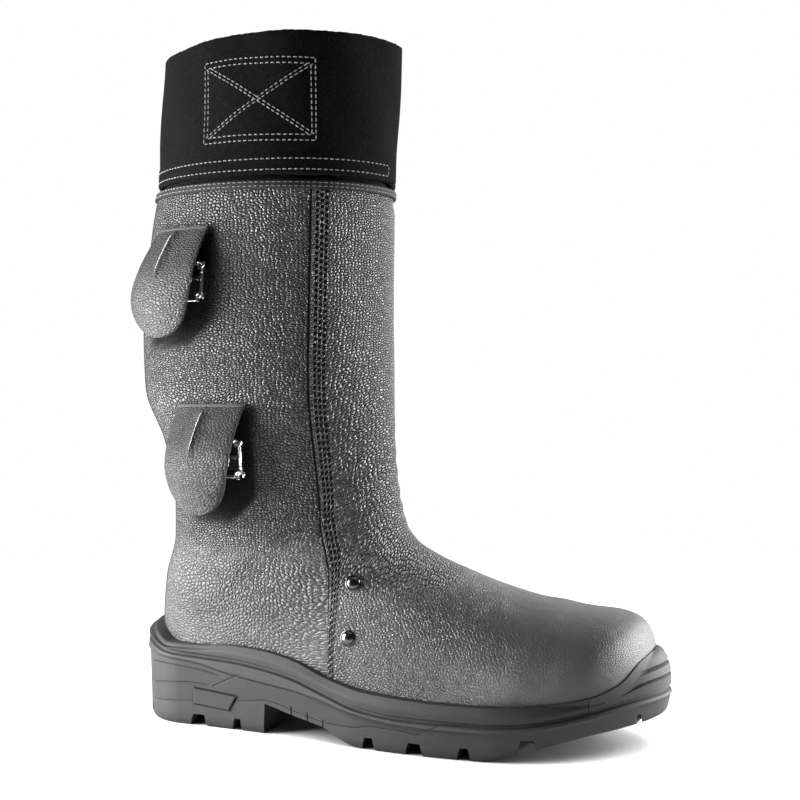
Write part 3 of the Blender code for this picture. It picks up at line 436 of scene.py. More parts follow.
class LeatherForm:
    """Dressed outer face of the upper, and places on it for the pieces that it carries."""

    def __init__(self):
        self.base = upper_grid()
        self.normals = grid_normals(self.base)
        relief = lap_relief(self.base) + crease_relief(self.base) + cap_relief(self.base)
        self.outside = self.base + self.normals * relief[..., None]
        self.inside = self.base - self.normals * WALL
        self.level_lower_rim()
        self.numbers, self.count = grid_numbers(self.base)
        self.points = grid_points(self.outside)
        self.tree = BVHTree.FromPolygons(self.points.tolist(), grid_faces(self.numbers))

    def level_lower_rim(self):
        """Set the inner edge of the open underside level with its outer edge."""
        flat = self.normals * (1, 1, 0)
        flat /= np.maximum(np.linalg.norm(flat, axis=2, keepdims=True), 1e-6)
        level = self.base - flat * WALL
        self.inside[0] = level[0]
        for j in (0, -1):
            self.inside[:FOOT_ROWS + 1, j] = level[:FOOT_ROWS + 1, j]

    def cast(self, start, direction):
        """Place and outward direction where a ray meets the leather."""
        place, normal = self.tree.ray_cast(Vector(start), Vector(direction))[:2]
        if place is None:
            raise RuntimeError("A ray misses the leather at %s" % (tuple(start),))
        if normal.dot(Vector(direction)) > 0:
            normal = -normal
        return np.array(place), np.array(normal)

    def around(self, z, degrees, clearance=0.0):
        """Place and direction at a height and an angle from the front over the outer side."""
        turn = math.radians(degrees)
        outward = np.array((math.cos(turn), -math.sin(turn), 0.0))
        place, normal = self.cast(np.array((SHAFT_AXIS, 0, z)) + RAY_START * outward, -outward)
        return place + clearance * normal, normal

    def beside(self, x, z, side):
        """Place and direction on one side of the foot."""
        return self.cast((x, RAY_START * side, z), (0, -side, 0))

    def seam_places(self):
        """Distance ahead of the lap edge and length along it for each vertex, in millimetres."""
        grid = self.base
        ahead = np.full(grid.shape[:2], FAR_AWAY)
        along = np.zeros(grid.shape[:2])
        last = grid.shape[1] - 1
        for rear, step in ((REAR_COLUMNS, 1), (last - REAR_COLUMNS, -1)):
            columns = list(range(rear + step, rear + step * (FRONT_COLUMNS + 1), step))
            lap = 0.5 * (grid[:, rear] + grid[:, rear + step])
            gap = grid[:, columns] - lap[:, None]
            ahead[:, columns] = np.linalg.norm(gap, axis=2)
            behind = list(range(0, rear + 1)) if step > 0 else list(range(rear, last + 1))
            ahead[:, behind] = -np.linalg.norm(grid[:, behind] - lap[:, None], axis=2)
            along[:, columns + behind] = lap[:, 2][:, None]
        leading = grid[:, 0, 0] > lap_x(grid[:, 0, 2])
        ahead[leading] = FAR_AWAY
        return grid_points(ahead), grid_points(along)

    def grain_places(self):
        """Length along the ridge, and round the boot from the ridge, for each vertex in millimetres."""
        grid = self.base
        middle = grid.shape[1] // 2
        run = run_along(grid[:, middle])
        around = np.array([run_along(row) for row in grid])
        around -= around[:, middle:middle + 1]
        along = np.repeat(run[:, None], grid.shape[1], axis=1)
        return grid_points(along), grid_points(around)


LEATHER = LeatherForm()

# Angles in degrees between faces past which an edge is shaded sharp
SHARP_EDGE = 50
ROLLED_EDGE = 60
MOULDED_EDGE = 32


def turn_outward(piece):
    """Turn the faces of a closed piece outward."""
    shape = bmesh.new()
    shape.from_mesh(piece.data)
    bmesh.ops.recalc_face_normals(shape, faces=shape.faces)
    if shape.calc_volume(signed=True) < 0:
        bmesh.ops.reverse_faces(shape, faces=shape.faces)
    shape.to_mesh(piece.data)
    shape.free()


def add_piece(name, points, faces, materials, face_slots=None, sharp=None, closed=True):
    """Smooth shaded object of one mesh, from points in millimetres of the boot."""
    mesh = bpy.data.meshes.new(name)
    placed = (np.asarray(points, dtype=float) + SHIFT) * MM
    mesh.from_pydata(placed.tolist(), [], faces)
    for material in materials:
        mesh.materials.append(material)
    if face_slots is not None:
        mesh.polygons.foreach_set("material_index", face_slots)
    mesh.shade_smooth()
    if sharp is not None:
        mesh.set_sharp_from_angle(angle=math.radians(sharp))
    mesh.update()
    piece = bpy.data.objects.new(name, mesh)
    bpy.context.scene.collection.objects.link(piece)
    if closed:
        turn_outward(piece)
    return piece


def settle(piece, slot, *nodes):
    """Hang a piece on the boot and let it stand for the solids it replaces; its finish argument is not
    used.
    """
    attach(piece, "root")
    if nodes:
        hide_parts(*nodes)


def store_values(piece, name, values):
    """Keep one number per vertex for the material to read."""
    attribute = piece.data.attributes.new(name, 'FLOAT', 'POINT')
    attribute.data.foreach_set("value", np.asarray(values, dtype=np.float32))


def make_upper(leather, lining):
    """Hollow upper: grained leather outside, lining inside, a cut edge at the collar and below."""
    form = LEATHER
    inner_numbers, count = grid_numbers(form.inside, form.count)
    outer_faces = grid_faces(form.numbers)
    inner_faces = grid_faces(inner_numbers, flip=True)
    rims = loop_faces(lower_edge(form.numbers), lower_edge(inner_numbers))
    rims += loop_faces(form.numbers[-1][:-1], inner_numbers[-1][:-1])
    points = np.concatenate((form.points, grid_points(form.inside)))
    faces = outer_faces + inner_faces + rims
    slots = [0] * len(outer_faces) + [1] * (len(inner_faces) + len(rims))
    piece = add_piece("leather_upper", points, faces, [leather, lining], slots, SHARP_EDGE)
    inside = np.full(count - form.count, FAR_AWAY)
    names = ("seam_ahead", "seam_along", "grain_run", "grain_around", "cover_shade")
    for name, values in zip(names, (*form.seam_places(), *form.grain_places(), cover_shade(form.points))):
        store_values(piece, name, np.concatenate((values, inside)))
    settle(piece, "grain_leather", "upper")


# Grey of the painted shade in the hollows between the grains and in the stitch holes, also laid beside the
# covers, behind the lap edge and under the cuff
PAINTED_SHADE_GREY = (0.004, 0.004, 0.004)


class Value:
    """A node socket that takes part in Python arithmetic."""

    def __init__(self, look, socket):
        self.look = look
        self.socket = socket

    def maths(self, operation, first, second=None):
        """Math node on one or two values."""
        sockets = {0: first} if second is None else {0: first, 1: second}
        return self.look.node("ShaderNodeMath", {"operation": operation}, sockets)["Value"]

    def __add__(self, other):
        return self.maths('ADD', self, other)

    def __radd__(self, other):
        return self.maths('ADD', other, self)

    def __sub__(self, other):
        return self.maths('SUBTRACT', self, other)

    def __rsub__(self, other):
        return self.maths('SUBTRACT', other, self)

    def __mul__(self, other):
        return self.maths('MULTIPLY', self, other)

    def __rmul__(self, other):
        return self.maths('MULTIPLY', other, self)

    def __truediv__(self, other):
        return self.maths('DIVIDE', self, other)

    def __rtruediv__(self, other):
        return self.maths('DIVIDE', other, self)

    def __pow__(self, other):
        return self.maths('POWER', self, other)

    def size(self):
        """Distance from zero."""
        return self.maths('ABSOLUTE', self)

    def wave(self):
        """Sine of the value."""
        return self.maths('SINE', self)

    def at_most(self, other):
        """The smaller of two values."""
        return self.maths('MINIMUM', self, other)

    def at_least(self, other):
        """The larger of two values."""
        return self.maths('MAXIMUM', self, other)

    def ease(self, low, high):
        """Smooth step from 0 at low to 1 at high."""
        return self.look.node("ShaderNodeMapRange", {"interpolation_type": 'SMOOTHSTEP'},
                              {"Value": self, "From Min": low, "From Max": high})["Result"]


class Outputs:
    """Output sockets of one node, by name."""

    def __init__(self, look, node):
        self.look = look
        self.node = node

    def __getitem__(self, name):
        return Value(self.look, self.node.outputs[name])


class Look:
    """One material, written node by node."""

    def __init__(self, name):
        self.material = bpy.data.materials.new(name)
        self.material.use_nodes = True
        self.tree = self.material.node_tree
        self.shader = self.tree.nodes["Principled BSDF"]

    def node(self, kind, settings=None, sockets=None):
        """Node of one type: settings first, then the values or links of its sockets."""
        node = self.tree.nodes.new(kind)
        for name, setting in (settings or {}).items():
            if name == "stops":
                self.set_stops(node.color_ramp, setting)
            else:
                setattr(node, name, setting)
        for name, value in (sockets or {}).items():
            self.feed(node.inputs[name], value)
        return Outputs(self, node)

    def set_stops(self, ramp, stops):
        """Places and greys of a colour ramp."""
        while len(ramp.elements) < len(stops):
            ramp.elements.new(0.5)
        for element, (place, grey) in zip(ramp.elements, stops):
            element.position = place
            element.color = (grey, grey, grey, 1.0)

    def feed(self, socket, value):
        """Link a value to a socket, or set the number that it holds."""
        if isinstance(value, Value):
            self.tree.links.new(value.socket, socket)
        else:
            socket.default_value = value

    def set(self, **sockets):
        """Values of the shader's own sockets; underscores stand for spaces."""
        for name, value in sockets.items():
            self.feed(self.shader.inputs[name.replace("_", " ")], value)

    def place(self):
        """Place on the boot in millimetres, as a vector."""
        position = self.node("ShaderNodeTexCoord")["Object"]
        scaled = self.vector('SCALE', position, Scale=1 / MM)
        return self.vector('SUBTRACT', scaled, tuple(SHIFT))

    def vector(self, operation, first, second=None, **more):
        """Vector Math node."""
        sockets = {0: first}
        if second is not None:
            sockets[1] = second
        sockets.update(more)
        return self.node("ShaderNodeVectorMath", {"operation": operation}, sockets)["Vector"]

    def split(self, vector):
        """X, Y and Z of a vector."""
        parts = self.node("ShaderNodeSeparateXYZ", None, {0: vector})
        return parts["X"], parts["Y"], parts["Z"]

    def join(self, x, y, z):
        """Vector of three values."""
        return self.node("ShaderNodeCombineXYZ", None, {0: x, 1: y, 2: z})["Vector"]

    def noise(self, vector, size, detail=2.0, roughness=0.5):
        """Cloudy value between 0 and 1 with features of about one size in millimetres."""
        sockets = {"Vector": vector, "Scale": 1 / size, "Detail": detail, "Roughness": roughness}
        return self.node("ShaderNodeTexNoise", {"noise_dimensions": '3D'}, sockets)["Fac"]

    def cells(self, across, along, cell, size):
        """Rounded cells from 0 in the grooves to 1 on their tops, in a flat pattern of two lengths."""
        vector = self.join(across / (cell[0] * size), along / (cell[1] * size), 0.0)
        settings = {"feature": 'DISTANCE_TO_EDGE', "voronoi_dimensions": '2D'}
        sockets = {"Vector": vector, "Scale": 1.0, "Randomness": CELL_RANDOMNESS}
        edge = self.node("ShaderNodeTexVoronoi", settings, sockets)["Distance"]
        slope = (edge / CELL_SLOPE).at_most(1.0)
        swell = self.noise(vector, 1.7, 1.0).ease(0.30, 0.70)
        return slope * (2 - slope) * (0.72 + 0.28 * swell)

    def mix(self, share, first, second):
        """Value between two values."""
        return first + (second - first) * share

    def grey(self, value):
        """Grey colour of one value."""
        return self.node("ShaderNodeCombineColor", None, {0: value, 1: value, 2: value})["Color"]

    def relief(self, height, depth):
        """Normal of a surface whose height of 1 stands for depth millimetres."""
        return self.node("ShaderNodeBump", None,
                         {"Strength": 1.0, "Distance": depth * MM, "Height": height})["Normal"]

    def hollow(self, mask):
        """Let the surface turn to a dark, matt shader where the mask is 1: painted shade in hollows and
        shadows.
        """
        sockets = {"Base Color": (*PAINTED_SHADE_GREY, 1.0), "Roughness": 0.9, "Specular IOR Level": 0.05}
        dark = self.node("ShaderNodeBsdfPrincipled", None, sockets)["BSDF"]
        own = Value(self, self.shader.outputs["BSDF"])
        blend = self.node("ShaderNodeMixShader", None, {0: mask, 1: own, 2: dark})["Shader"]
        self.feed(self.tree.nodes["Material Output"].inputs["Surface"], blend)
        return self

    def attribute(self, name):
        """Number that the mesh keeps for each vertex."""
        return self.node("ShaderNodeAttribute", {"attribute_name": name})["Fac"]


def warped(look, place, size, reach):
    """Place moved about by soft noise, so that no pattern runs straight."""
    cloud = look.node("ShaderNodeTexNoise", {"noise_dimensions": '3D'},
                      {"Vector": place, "Scale": 1 / size, "Detail": 1.0})["Color"]
    centred = look.vector('SUBTRACT', cloud, (0.5, 0.5, 0.5))
    return look.vector('ADD', place, look.vector('SCALE', centred, Scale=2 * reach))


# Share of a grain cell from its groove to its flat top, and how uneven the cells are
CELL_SLOPE = 0.46
CELL_RANDOMNESS = 0.85
# Length and width of the grain cells at a grain size of 1
SHAFT_CELL = (2.1, 1.05)
HEEL_CELL = (2.6, 1.30)
TOE_CELL = (1.5, 0.85)
BEND_CELL = (2.7, 1.10)
SHIN_CELL_CUT = 0.9
# Radius at which the grain of the shaft is unrolled
UNROLL_RADIUS = 60.0
# Sunk stitches ahead of the lap edge: rows, step, half width and stagger, and the shadow behind the edge
STITCH_HOLE_ROWS = (3.0, 5.5, 8.0)
STITCH_HOLE_PITCH = 3.3
STITCH_HOLE_HALF = 1.45
STITCH_HOLE_STAGGER = 2.4
LAP_SHADOW = 0.35
# Zones of the leather along the foot or up the boot, each from where it starts to where it is full
TOE_ALONG = (172.0, 246.0)
TOE_ABOVE = (110.0, 130.0)
BEND_UP = (66.0, 88.0)
BEND_AHEAD = (180.0, 206.0)
SHIN_UP = (150.0, 240.0)
VAMP_ALONG = (140.0, 185.0)
HEEL_UP = (82.0, 112.0)
QUARTER_LOW = (50.0, 70.0)
QUARTER_HIGH = (78.0, 116.0)
QUARTER_MATT = (62.0, 108.0)
# Painted shade on the shaft from the binding up under the cuff
UNDER_CUFF_SHADE = (293.0, 296.0)


def shaft_grain(look, place, size):
    """Even pebbles of the shaft and the heel."""
    x, y, z = look.split(place)
    turn = look.node("ShaderNodeMath", {"operation": 'ARCTAN2'}, {0: y, 1: x - SHAFT_AXIS})["Value"]
    slant = look.noise(place, 65.0, 1.0) - 0.5
    around = turn * UNROLL_RADIUS
    level = z + 34.0 * slant
    small = look.cells(around, level, SHAFT_CELL, size)
    large = look.cells(around, level, HEEL_CELL, size)
    return look.mix(1 - z.ease(*HEEL_UP), small, large)


def front_grain(look, place, size):
    """Grain of the front panel and its depth: long cells across the bend, fine and flat towards the toe."""
    x, _, z = look.split(place)
    drift = look.noise(place, 14.0, 1.0) - 0.5
    run = look.attribute("grain_run") + 4.0 * drift
    around = look.attribute("grain_around")
    shin = z.ease(*SHIN_UP)
    bend_cell = (BEND_CELL[0] - SHIN_CELL_CUT * shin, BEND_CELL[1])
    long_cells = look.cells(around, run, bend_cell, size)
    fine_cells = look.cells(0.7 * (run - around), 0.7 * (run + around), TOE_CELL, size)
    bend = z.ease(*BEND_UP) * (1 - x.ease(*BEND_AHEAD))
    toe = x.ease(*TOE_ALONG) * (1 - z.ease(*TOE_ABOVE))
    return look.mix(bend, fine_cells, long_cells), 0.60 + 0.40 * bend - 0.38 * toe


def stitch_holes(look):
    """Masks of the sunk stitches beside the lap edge and of the shadow line just behind the edge, both
    painted dark as shade.
    """
    ahead = look.attribute("seam_ahead")
    along = look.attribute("seam_along")
    pits = 0.0
    for i, row in enumerate(STITCH_HOLE_ROWS):
        beat = (along * (2 * math.pi / STITCH_HOLE_PITCH) + STITCH_HOLE_STAGGER * i).wave() * 0.5 + 0.5
        across = 1 - ((ahead - row) / STITCH_HOLE_HALF).size().at_most(1.0)
        pits = (across * beat).ease(0.14, 0.36) + pits
    edge = (1 - (ahead + LAP_SHADOW).size().at_most(1.0)).ease(0.1, 0.6)
    return pits.at_most(1.0), edge


def cover_painted_light(look):
    """Masks of the painted shade on the plane above the bulge of a cover and of the painted highlight line
    on its crease.
    """
    side = look.attribute("crease_side")
    fall = look.attribute("cover_fall")
    line = (1 - (side / 0.5).size().at_most(1.0)).ease(0.1, 0.7)
    line = line * fall.ease(0.05, 0.09) * (1 - fall.ease(0.36, 0.45))
    return 1 - fall.ease(0.30, 0.58), line


def leather_material(name, settings, upper=False):
    """Grained leather: cells whose grooves are painted dark as shade, semi-gloss on their tops, finer and
    flatter at the toe.
    """
    look = Look(name)
    place = warped(look, look.place(), 8.0, 1.2)
    x, _, z = look.split(place)
    toe = x.ease(*TOE_ALONG)
    grain = shaft_grain(look, place, settings.grain_size * (1.0 if upper else 0.85))
    depth = 0.5
    if upper:
        ahead = look.attribute("seam_ahead").ease(-0.2, 0.2)
        front, front_depth = front_grain(look, place, settings.grain_size)
        rear_depth = 0.42 + 0.26 * z.ease(*QUARTER_LOW) + 0.32 * z.ease(*QUARTER_HIGH)
        grain = look.mix(ahead, grain, front)
        depth = look.mix(ahead, rear_depth, front_depth)
    pores = look.noise(place, 0.5, 2.0, 0.7)
    swell = look.noise(place, 16.0, 2.0, 0.5)
    height = (grain * depth + 0.12 * pores) * settings.grain_depth + 1.2 * swell
    groove = (1 - grain) * depth
    # Painted shade in the grain: tone drops toward the grooves and the dark matt shader takes the deepest
    # of them
    tone = (0.95 + 0.24 * swell - 0.7 * groove).at_least(0.05)
    hollow = groove.ease(0.50, 1.0)
    rough = settings.leather_roughness + 0.20 * groove + 0.12 * (pores - 0.5) + 0.12 * toe
    if upper:
        # Stitch holes and the line behind the lap edge are sunk in the bump and painted dark as shade
        pits, edge = stitch_holes(look)
        height = height - 1.2 * pits - 0.5 * edge
        # Painted shadow: the leather beside and below the covers turns to the dark matt shader
        hollow = hollow.at_least(pits).at_least(edge).at_least(0.96 * look.attribute("cover_shade"))
        # Painted shade: the shaft above the binding, under the cuff, turns to the dark matt shader
        hollow = hollow.at_least(0.94 * z.ease(*UNDER_CUFF_SHADE))
        low = (1 - ahead) * (1 - z.ease(*QUARTER_MATT))
        # Darker base over the vamp and toe is painted shade; the low rear panel is darker and rougher too
        tone = tone * (1 - 0.55 * x.ease(*VAMP_ALONG)) * (1 - 0.35 * low)
        rough = rough + 0.13 * low
        gloss = settings.leather_gloss
    else:
        # Cover leather is painted darker overall, with painted shade on the plane above the bulge and a
        # painted highlight on the crease
        plane, line = cover_painted_light(look)
        tone = tone * (0.75 - 0.45 * plane) + 5.0 * line
        rough = rough + 0.02 + 0.22 * plane
        gloss = 0.45 * settings.leather_gloss
    look.set(Base_Color=look.grey(tone * settings.leather_grey), Roughness=rough,
             Normal=look.relief(height, 1.0), Specular_IOR_Level=gloss)
    return look.hollow(hollow).material


def suede_material(name, settings):
    """Near-black suede with a fine brushed nap."""
    look = Look(name)
    place = look.place()
    nap = look.noise(look.vector('MULTIPLY', place, (1.0, 1.0, 0.6)), 0.7, 3.0, 0.75)
    patch = look.noise(place, 7.0, 2.0, 0.6)
    tone = 0.4 + 2.4 * nap.ease(0.45, 0.75) + 0.5 * (patch - 0.5)
    look.set(Base_Color=look.grey((tone * settings.suede_grey).at_least(0.001)), Roughness=0.95,
             Specular_IOR_Level=0.04, Sheen_Weight=0.01, Sheen_Roughness=0.6,
             Normal=look.relief(nap + patch * 0.6, 0.35))
    return look.material


# Fine lines moulded in the heel: ends along the foot and heights at the start, middle and end
MouldLine = namedtuple("MouldLine", "start end start_z middle_z end_z")
MOULD_LINES = [
    MouldLine(8.0, 60.0, 32.6, 32.6, 28.7),
    MouldLine(53.0, 72.0, 22.4, 27.0, 31.4),
    MouldLine(10.0, 52.0, 20.4, 23.4, 23.2),
    MouldLine(41.6, 69.2, 21.2, 20.05, 18.9),
    MouldLine(41.0, 64.4, 12.3, 11.35, 10.4),
    MouldLine(64.0, 69.2, 10.4, 14.65, 18.9),
    MouldLine(40.7, 42.1, 12.3, 16.75, 21.2),
]
MOULD_LINE_WIDTH = 0.55


def mould_lines(look, place):
    """Mask of the fine lines and the blank plate on both sides of the heel."""
    x, _, z = look.split(place)
    mask = 0.0
    for line in MOULD_LINES:
        t = (x - line.start) / (line.end - line.start)
        square = 2 * (line.start_z - 2 * line.middle_z + line.end_z)
        slope = 4 * line.middle_z - 3 * line.start_z - line.end_z
        height = (t * square + slope) * t + line.start_z
        width = MOULD_LINE_WIDTH * math.hypot(1.0, (line.end_z - line.start_z) / (line.end - line.start))
        near = 1 - ((z - height) / width).size().at_most(1.0)
        mask = near.ease(0.0, 0.8) * t.ease(0.0, 0.06) * (1 - t.ease(0.94, 1.0)) + mask
    return mask.at_most(1.0)


def rubber_material(name, grey):
    """Matte moulded rubber with a fine spark texture, painted darker in its moulded lines as shade."""
    look = Look(name)
    place = look.place()
    spark = look.noise(place, 0.55, 2.0, 0.7)
    patch = look.noise(place, 22.0, 3.0, 0.55)
    line = mould_lines(look, place)
    # Moulded lines and the plate outline take painted shade in the tone
    tone = (0.52 + 0.86 * spark + 0.16 * (patch - 0.5)) * (1 - 0.6 * line)
    look.set(Base_Color=look.grey(tone * grey), Roughness=0.50 + 0.16 * spark,
             Specular_IOR_Level=0.30, Normal=look.relief(spark * 0.5 - line, 0.45))
    return look.material


def steel_material(name, grey, roughness):
    """Bright steel with faint handling marks."""
    look = Look(name)
    place = look.place()
    marks = look.noise(place, 1.6, 4.0, 0.7)
    look.set(Base_Color=look.grey(grey * (0.85 + 0.3 * marks)), Metallic=1.0,
             Roughness=(roughness + 0.12 * (marks - 0.5)).at_least(0.04))
    return look.material


def thread_material(name, grey):
    """Twisted sewing thread."""
    look = Look(name)
    place = look.place()
    x, y, z = look.split(place)
    twist = ((x + y + z) * 6.5).wave() * 0.5 + 0.5
    fray = look.noise(place, 0.5, 2.0, 0.6)
    look.set(Base_Color=look.grey(grey * (0.55 + 0.35 * twist + 0.35 * fray)), Roughness=0.75,
             Specular_IOR_Level=0.25, Normal=look.relief(twist, 0.12))
    return look.material


def felt_material(name, grey):
    """Pressed lining felt."""
    look = Look(name)
    place = look.place()
    fibre = look.noise(place, 0.7, 4.0, 0.8)
    patch = look.noise(place, 12.0, 2.0, 0.5)
    look.set(Base_Color=look.grey(grey * (0.6 + 0.5 * fibre + 0.4 * patch)), Roughness=0.95,
             Specular_IOR_Level=0.15, Normal=look.relief(fibre, 0.30))
    return look.material


def edge_material(name, grey):
    """Cut edge of the leather, dyed and a little fibrous; on the strap tips and the back edges its
    near-black grey is also painted shade.
    """
    look = Look(name)
    place = look.place()
    fibre = look.noise(look.vector('MULTIPLY', place, (1.0, 1.0, 2.5)), 0.8, 3.0, 0.7)
    look.set(Base_Color=look.grey(grey * (0.7 + 0.6 * fibre)), Roughness=0.8, Specular_IOR_Level=0.3,
             Normal=look.relief(fibre, 0.25))
    return look.material


# Moulded sole: outline, top line of its wall, band groove, heel step, ground line and lean of the top edge
SOLE_BACK = -3.0
SOLE_TIP = 296.0
SOLE_TIP_Y = 7.0
TOE_ROUND = 80.0
TOE_POWER = 2.1
BUMPER_START = 262.0
RIB_DEPTH = 1.5
SOLE_STATIONS = 150
SoleRow = namedtuple("SoleRow", "x lateral medial top groove step ground lean")
SOLE = [
    SoleRow(-3, 41.0, 40.0, 53.5, 46.0, 38.0, 1.2, 4.6),
    SoleRow(8, 41.0, 40.0, 49.5, 44.0, 38.0, 0.0, 3.6),
    SoleRow(24, 41.2, 40.0, 44.8, 40.4, 37.0, 0.0, 2.4),
    SoleRow(42, 41.6, 39.6, 45.0, 39.2, 35.4, 0.0, 1.8),
    SoleRow(64, 43.0, 38.6, 46.4, 38.2, 31.0, 0.0, 1.6),
    SoleRow(86, 44.9, 37.4, 45.0, 35.8, 27.9, 0.0, 1.6),
    SoleRow(105, 47.2, 37.2, 41.2, 32.0, 25.6, 0.0, 1.6),
    SoleRow(122, 50.0, 37.8, 35.0, 26.6, 22.4, 0.0, 1.6),
    SoleRow(145, 54.6, 42.0, 30.0, 20.6, 17.4, 0.0, 1.6),
    SoleRow(168, 57.2, 47.8, 28.4, 18.6, 15.0, 0.0, 1.6),
    SoleRow(190, 58.0, 52.0, 27.6, 18.4, 14.5, 0.0, 1.6),
    SoleRow(212, 57.2, 54.6, 27.5, 18.4, 14.5, 0.2, 1.6),
    SoleRow(226, 55.4, 55.2, 27.8, 18.9, 15.4, 3.2, 1.8),
    SoleRow(240, 53.0, 54.8, 28.8, 20.6, 17.2, 7.4, 2.2),
    SoleRow(262, 48.0, 53.0, 32.6, 25.0, 21.6, 12.6, 3.6),
    SoleRow(275, 44.5, 51.0, 38.5, 28.2, 24.6, 14.8, 4.2),
    SoleRow(286, 41.5, 48.6, 48.5, 30.2, 26.6, 16.6, 5.4),
    SoleRow(296, 38.0, 46.0, 52.0, 31.5, 27.9, 18.4, 6.0),
]
SOLE_CURVES = {name: column(SOLE, "x", name) for name in SoleRow._fields[1:]}

# Line where the tread rubber meets the cup
Parting = namedtuple("Parting", "x z")
PARTING = [
    Parting(-12, 10.0), Parting(4, 10.6), Parting(35, 13.7), Parting(70, 16.8), Parting(86, 18.8),
    Parting(95, 17.6), Parting(104, 14.8), Parting(114, 12.8), Parting(124, 11.0), Parting(142, 11.0),
    Parting(150, 13.0), Parting(168, 12.7), Parting(178, 11.4), Parting(184, 14.6), Parting(191, 18.0),
    Parting(218, 18.4), Parting(240, 20.6), Parting(BUMPER_START, 25.0),
]
PARTING_GAP = 0.3

# Hollow of the arch from the heel breast to the forefoot tread
Arch = namedtuple("Arch", "x z")
ARCH = [
    Arch(85.0, -6.0), Arch(86.5, 16.6), Arch(90, 15.8), Arch(102, 12.6), Arch(113, 10.4), Arch(122, 8.6),
    Arch(128, 5.8), Arch(136, 2.2), Arch(144, -0.6), Arch(144, -6.0),
]

# Notches between the lugs and slits: start and end along the foot, top of the cut and reach inward
Notch = namedtuple("Notch", "start end top reach")
NOTCHES = [
    Notch(7.4, 10.2, 7.5, 9), Notch(38, 51, 6.5, 16), Notch(65, 73, 6.5, 16),
    Notch(102.2, 103.9, 17.0, 8), Notch(112.2, 113.9, 15.0, 8), Notch(122.0, 123.6, 12.4, 8),
    Notch(145.5, 155, 6.5, 20), Notch(170, 182, 6.5, 24), Notch(198, 207, 6.5, 24),
    Notch(228, 240, 12.0, 24), Notch(281, 286, 21.6, 14),
]
CHANNELS = [Notch(14, 70, 4.0, 4), Notch(162, 256, 4.0, 4)]
NOTCH_TAPER = 2.2
NOTCH_TAPER_SHARE = 0.2
NOTCH_BELOW = -4.0
NOTCH_OUTSIDE = 8.0

# Wall from the ground up: line, rise, push outward, share of the lean, toe rib, steps to the next ring
Ring = namedtuple("Ring", "line rise push lean rib steps")
BAND_LOW = 1.3
BAND_HIGH = -2.0
WALL_RINGS = [
    Ring("ground", 0.0, -3.4, 0.0, 0, 1),
    Ring("ground", 1.2, -2.4, 0.0, 0, 3),
    Ring("ground", 3.5, -1.6, 0.0, 0, 8),
    Ring("step", -1.0, -0.6, 0.0, 0, 2),
    Ring("step", 0.6, 0.5, 0.0, 0, 3),
    Ring("groove", -1.6, 0.2, 0.06, 0, 2),
    Ring("groove", -0.7, -1.2, 0.06, 0, 2),
    Ring("groove", 0.5, -1.2, 0.06, 0, 2),
    Ring("groove", 1.3, 0.3, 0.08, 0, 2),
    Ring(0.30, 0.0, 0.5, 0.10, 0, 2),
    Ring(0.36, 0.0, 0.5, 0.12, 1, 2),
    Ring(0.42, 0.0, 0.6, 0.14, 0, 3),
    Ring(0.64, 0.0, 0.6, 0.28, 0, 2),
    Ring(0.70, 0.0, 0.6, 0.34, 1, 2),
    Ring(0.76, 0.0, 0.6, 0.40, 0, 3),
    Ring("top", -2.0, 0.5, 0.75, 0, 2),
    Ring("top", -0.5, 0.2, 1.0, 0, 1),
    Ring("top", 0.0, -0.6, 1.0, 0, 1),
]
LIP_SINK = 0.5
LIP_WALL = 0.7
LIP_SEARCH = 24.0
TAB_HALF_WIDTH = 9.0
TAB_LOW = 25.0
TAB_HIGH = 39.0
TAB_RISE = 1.2
TAB_ALONG = (20, 10)
TOE_FLOOR_SLOPE = 0.19


def sole_edge(x, side):
    """Side of the sole's outline at x, rounded at the heel and the toe."""
    half = SOLE_CURVES["lateral" if side < 0 else "medial"](x)
    centre = SOLE_TIP_Y * ease(150, SOLE_TIP, x)
    reach = half - side * centre
    back = np.clip((SOLE_BACK + HEEL_ROUND - x) / HEEL_ROUND, 0, 1)
    ahead = np.clip((x - SOLE_TIP + TOE_ROUND) / TOE_ROUND, 0, 1)
    return centre + side * reach * np.sqrt(1 - back * back) * (1 - ahead ** TOE_POWER) ** (1 / TOE_POWER)


def sole_outline():
    """Outline from the heel along the outer side to the toe and back, with its outward directions."""
    share = (1 - np.cos(np.pi * np.arange(SOLE_STATIONS + 1) / SOLE_STATIONS)) / 2
    x = SOLE_BACK + (SOLE_TIP - SOLE_BACK) * share
    outer = np.stack((x, sole_edge(x, -1)), axis=1)
    inner = np.stack((x, sole_edge(x, 1)), axis=1)[-2:0:-1]
    outline = np.concatenate((outer, inner))
    along = np.roll(outline, -1, axis=0) - np.roll(outline, 1, axis=0)
    outward = np.stack((along[:, 1], -along[:, 0]), axis=1)
    return outline, outward / np.linalg.norm(outward, axis=1, keepdims=True)


def ring_height(ring, x):
    """Height of one ring of the wall round the sole."""
    if isinstance(ring.line, str):
        return SOLE_CURVES[ring.line](x) + ring.rise
    low = SOLE_CURVES["groove"](x) + BAND_LOW
    return low + ring.line * (SOLE_CURVES["top"](x) + BAND_HIGH - low)


def floor_height(x):
    """Height of the cup floor under the upper."""
    return feather_z(x) + TOE_FLOOR_SLOPE * np.maximum(x - FEATHER[-1].x, 0)


def leather_push(outline, outward, heights):
    """How far the leather stands out from the sole's outline; far inside it where there is none."""
    pushes = []
    for place, direction, height in zip(outline, outward, heights):
        start = Vector((*(place + LIP_SEARCH * direction), height))
        hit = LEATHER.tree.ray_cast(start, Vector((*-direction, 0.0)), 2 * LIP_SEARCH)
        pushes.append(LIP_SEARCH - hit[3] if hit[0] is not None else -LIP_SEARCH)
    return np.array(pushes)


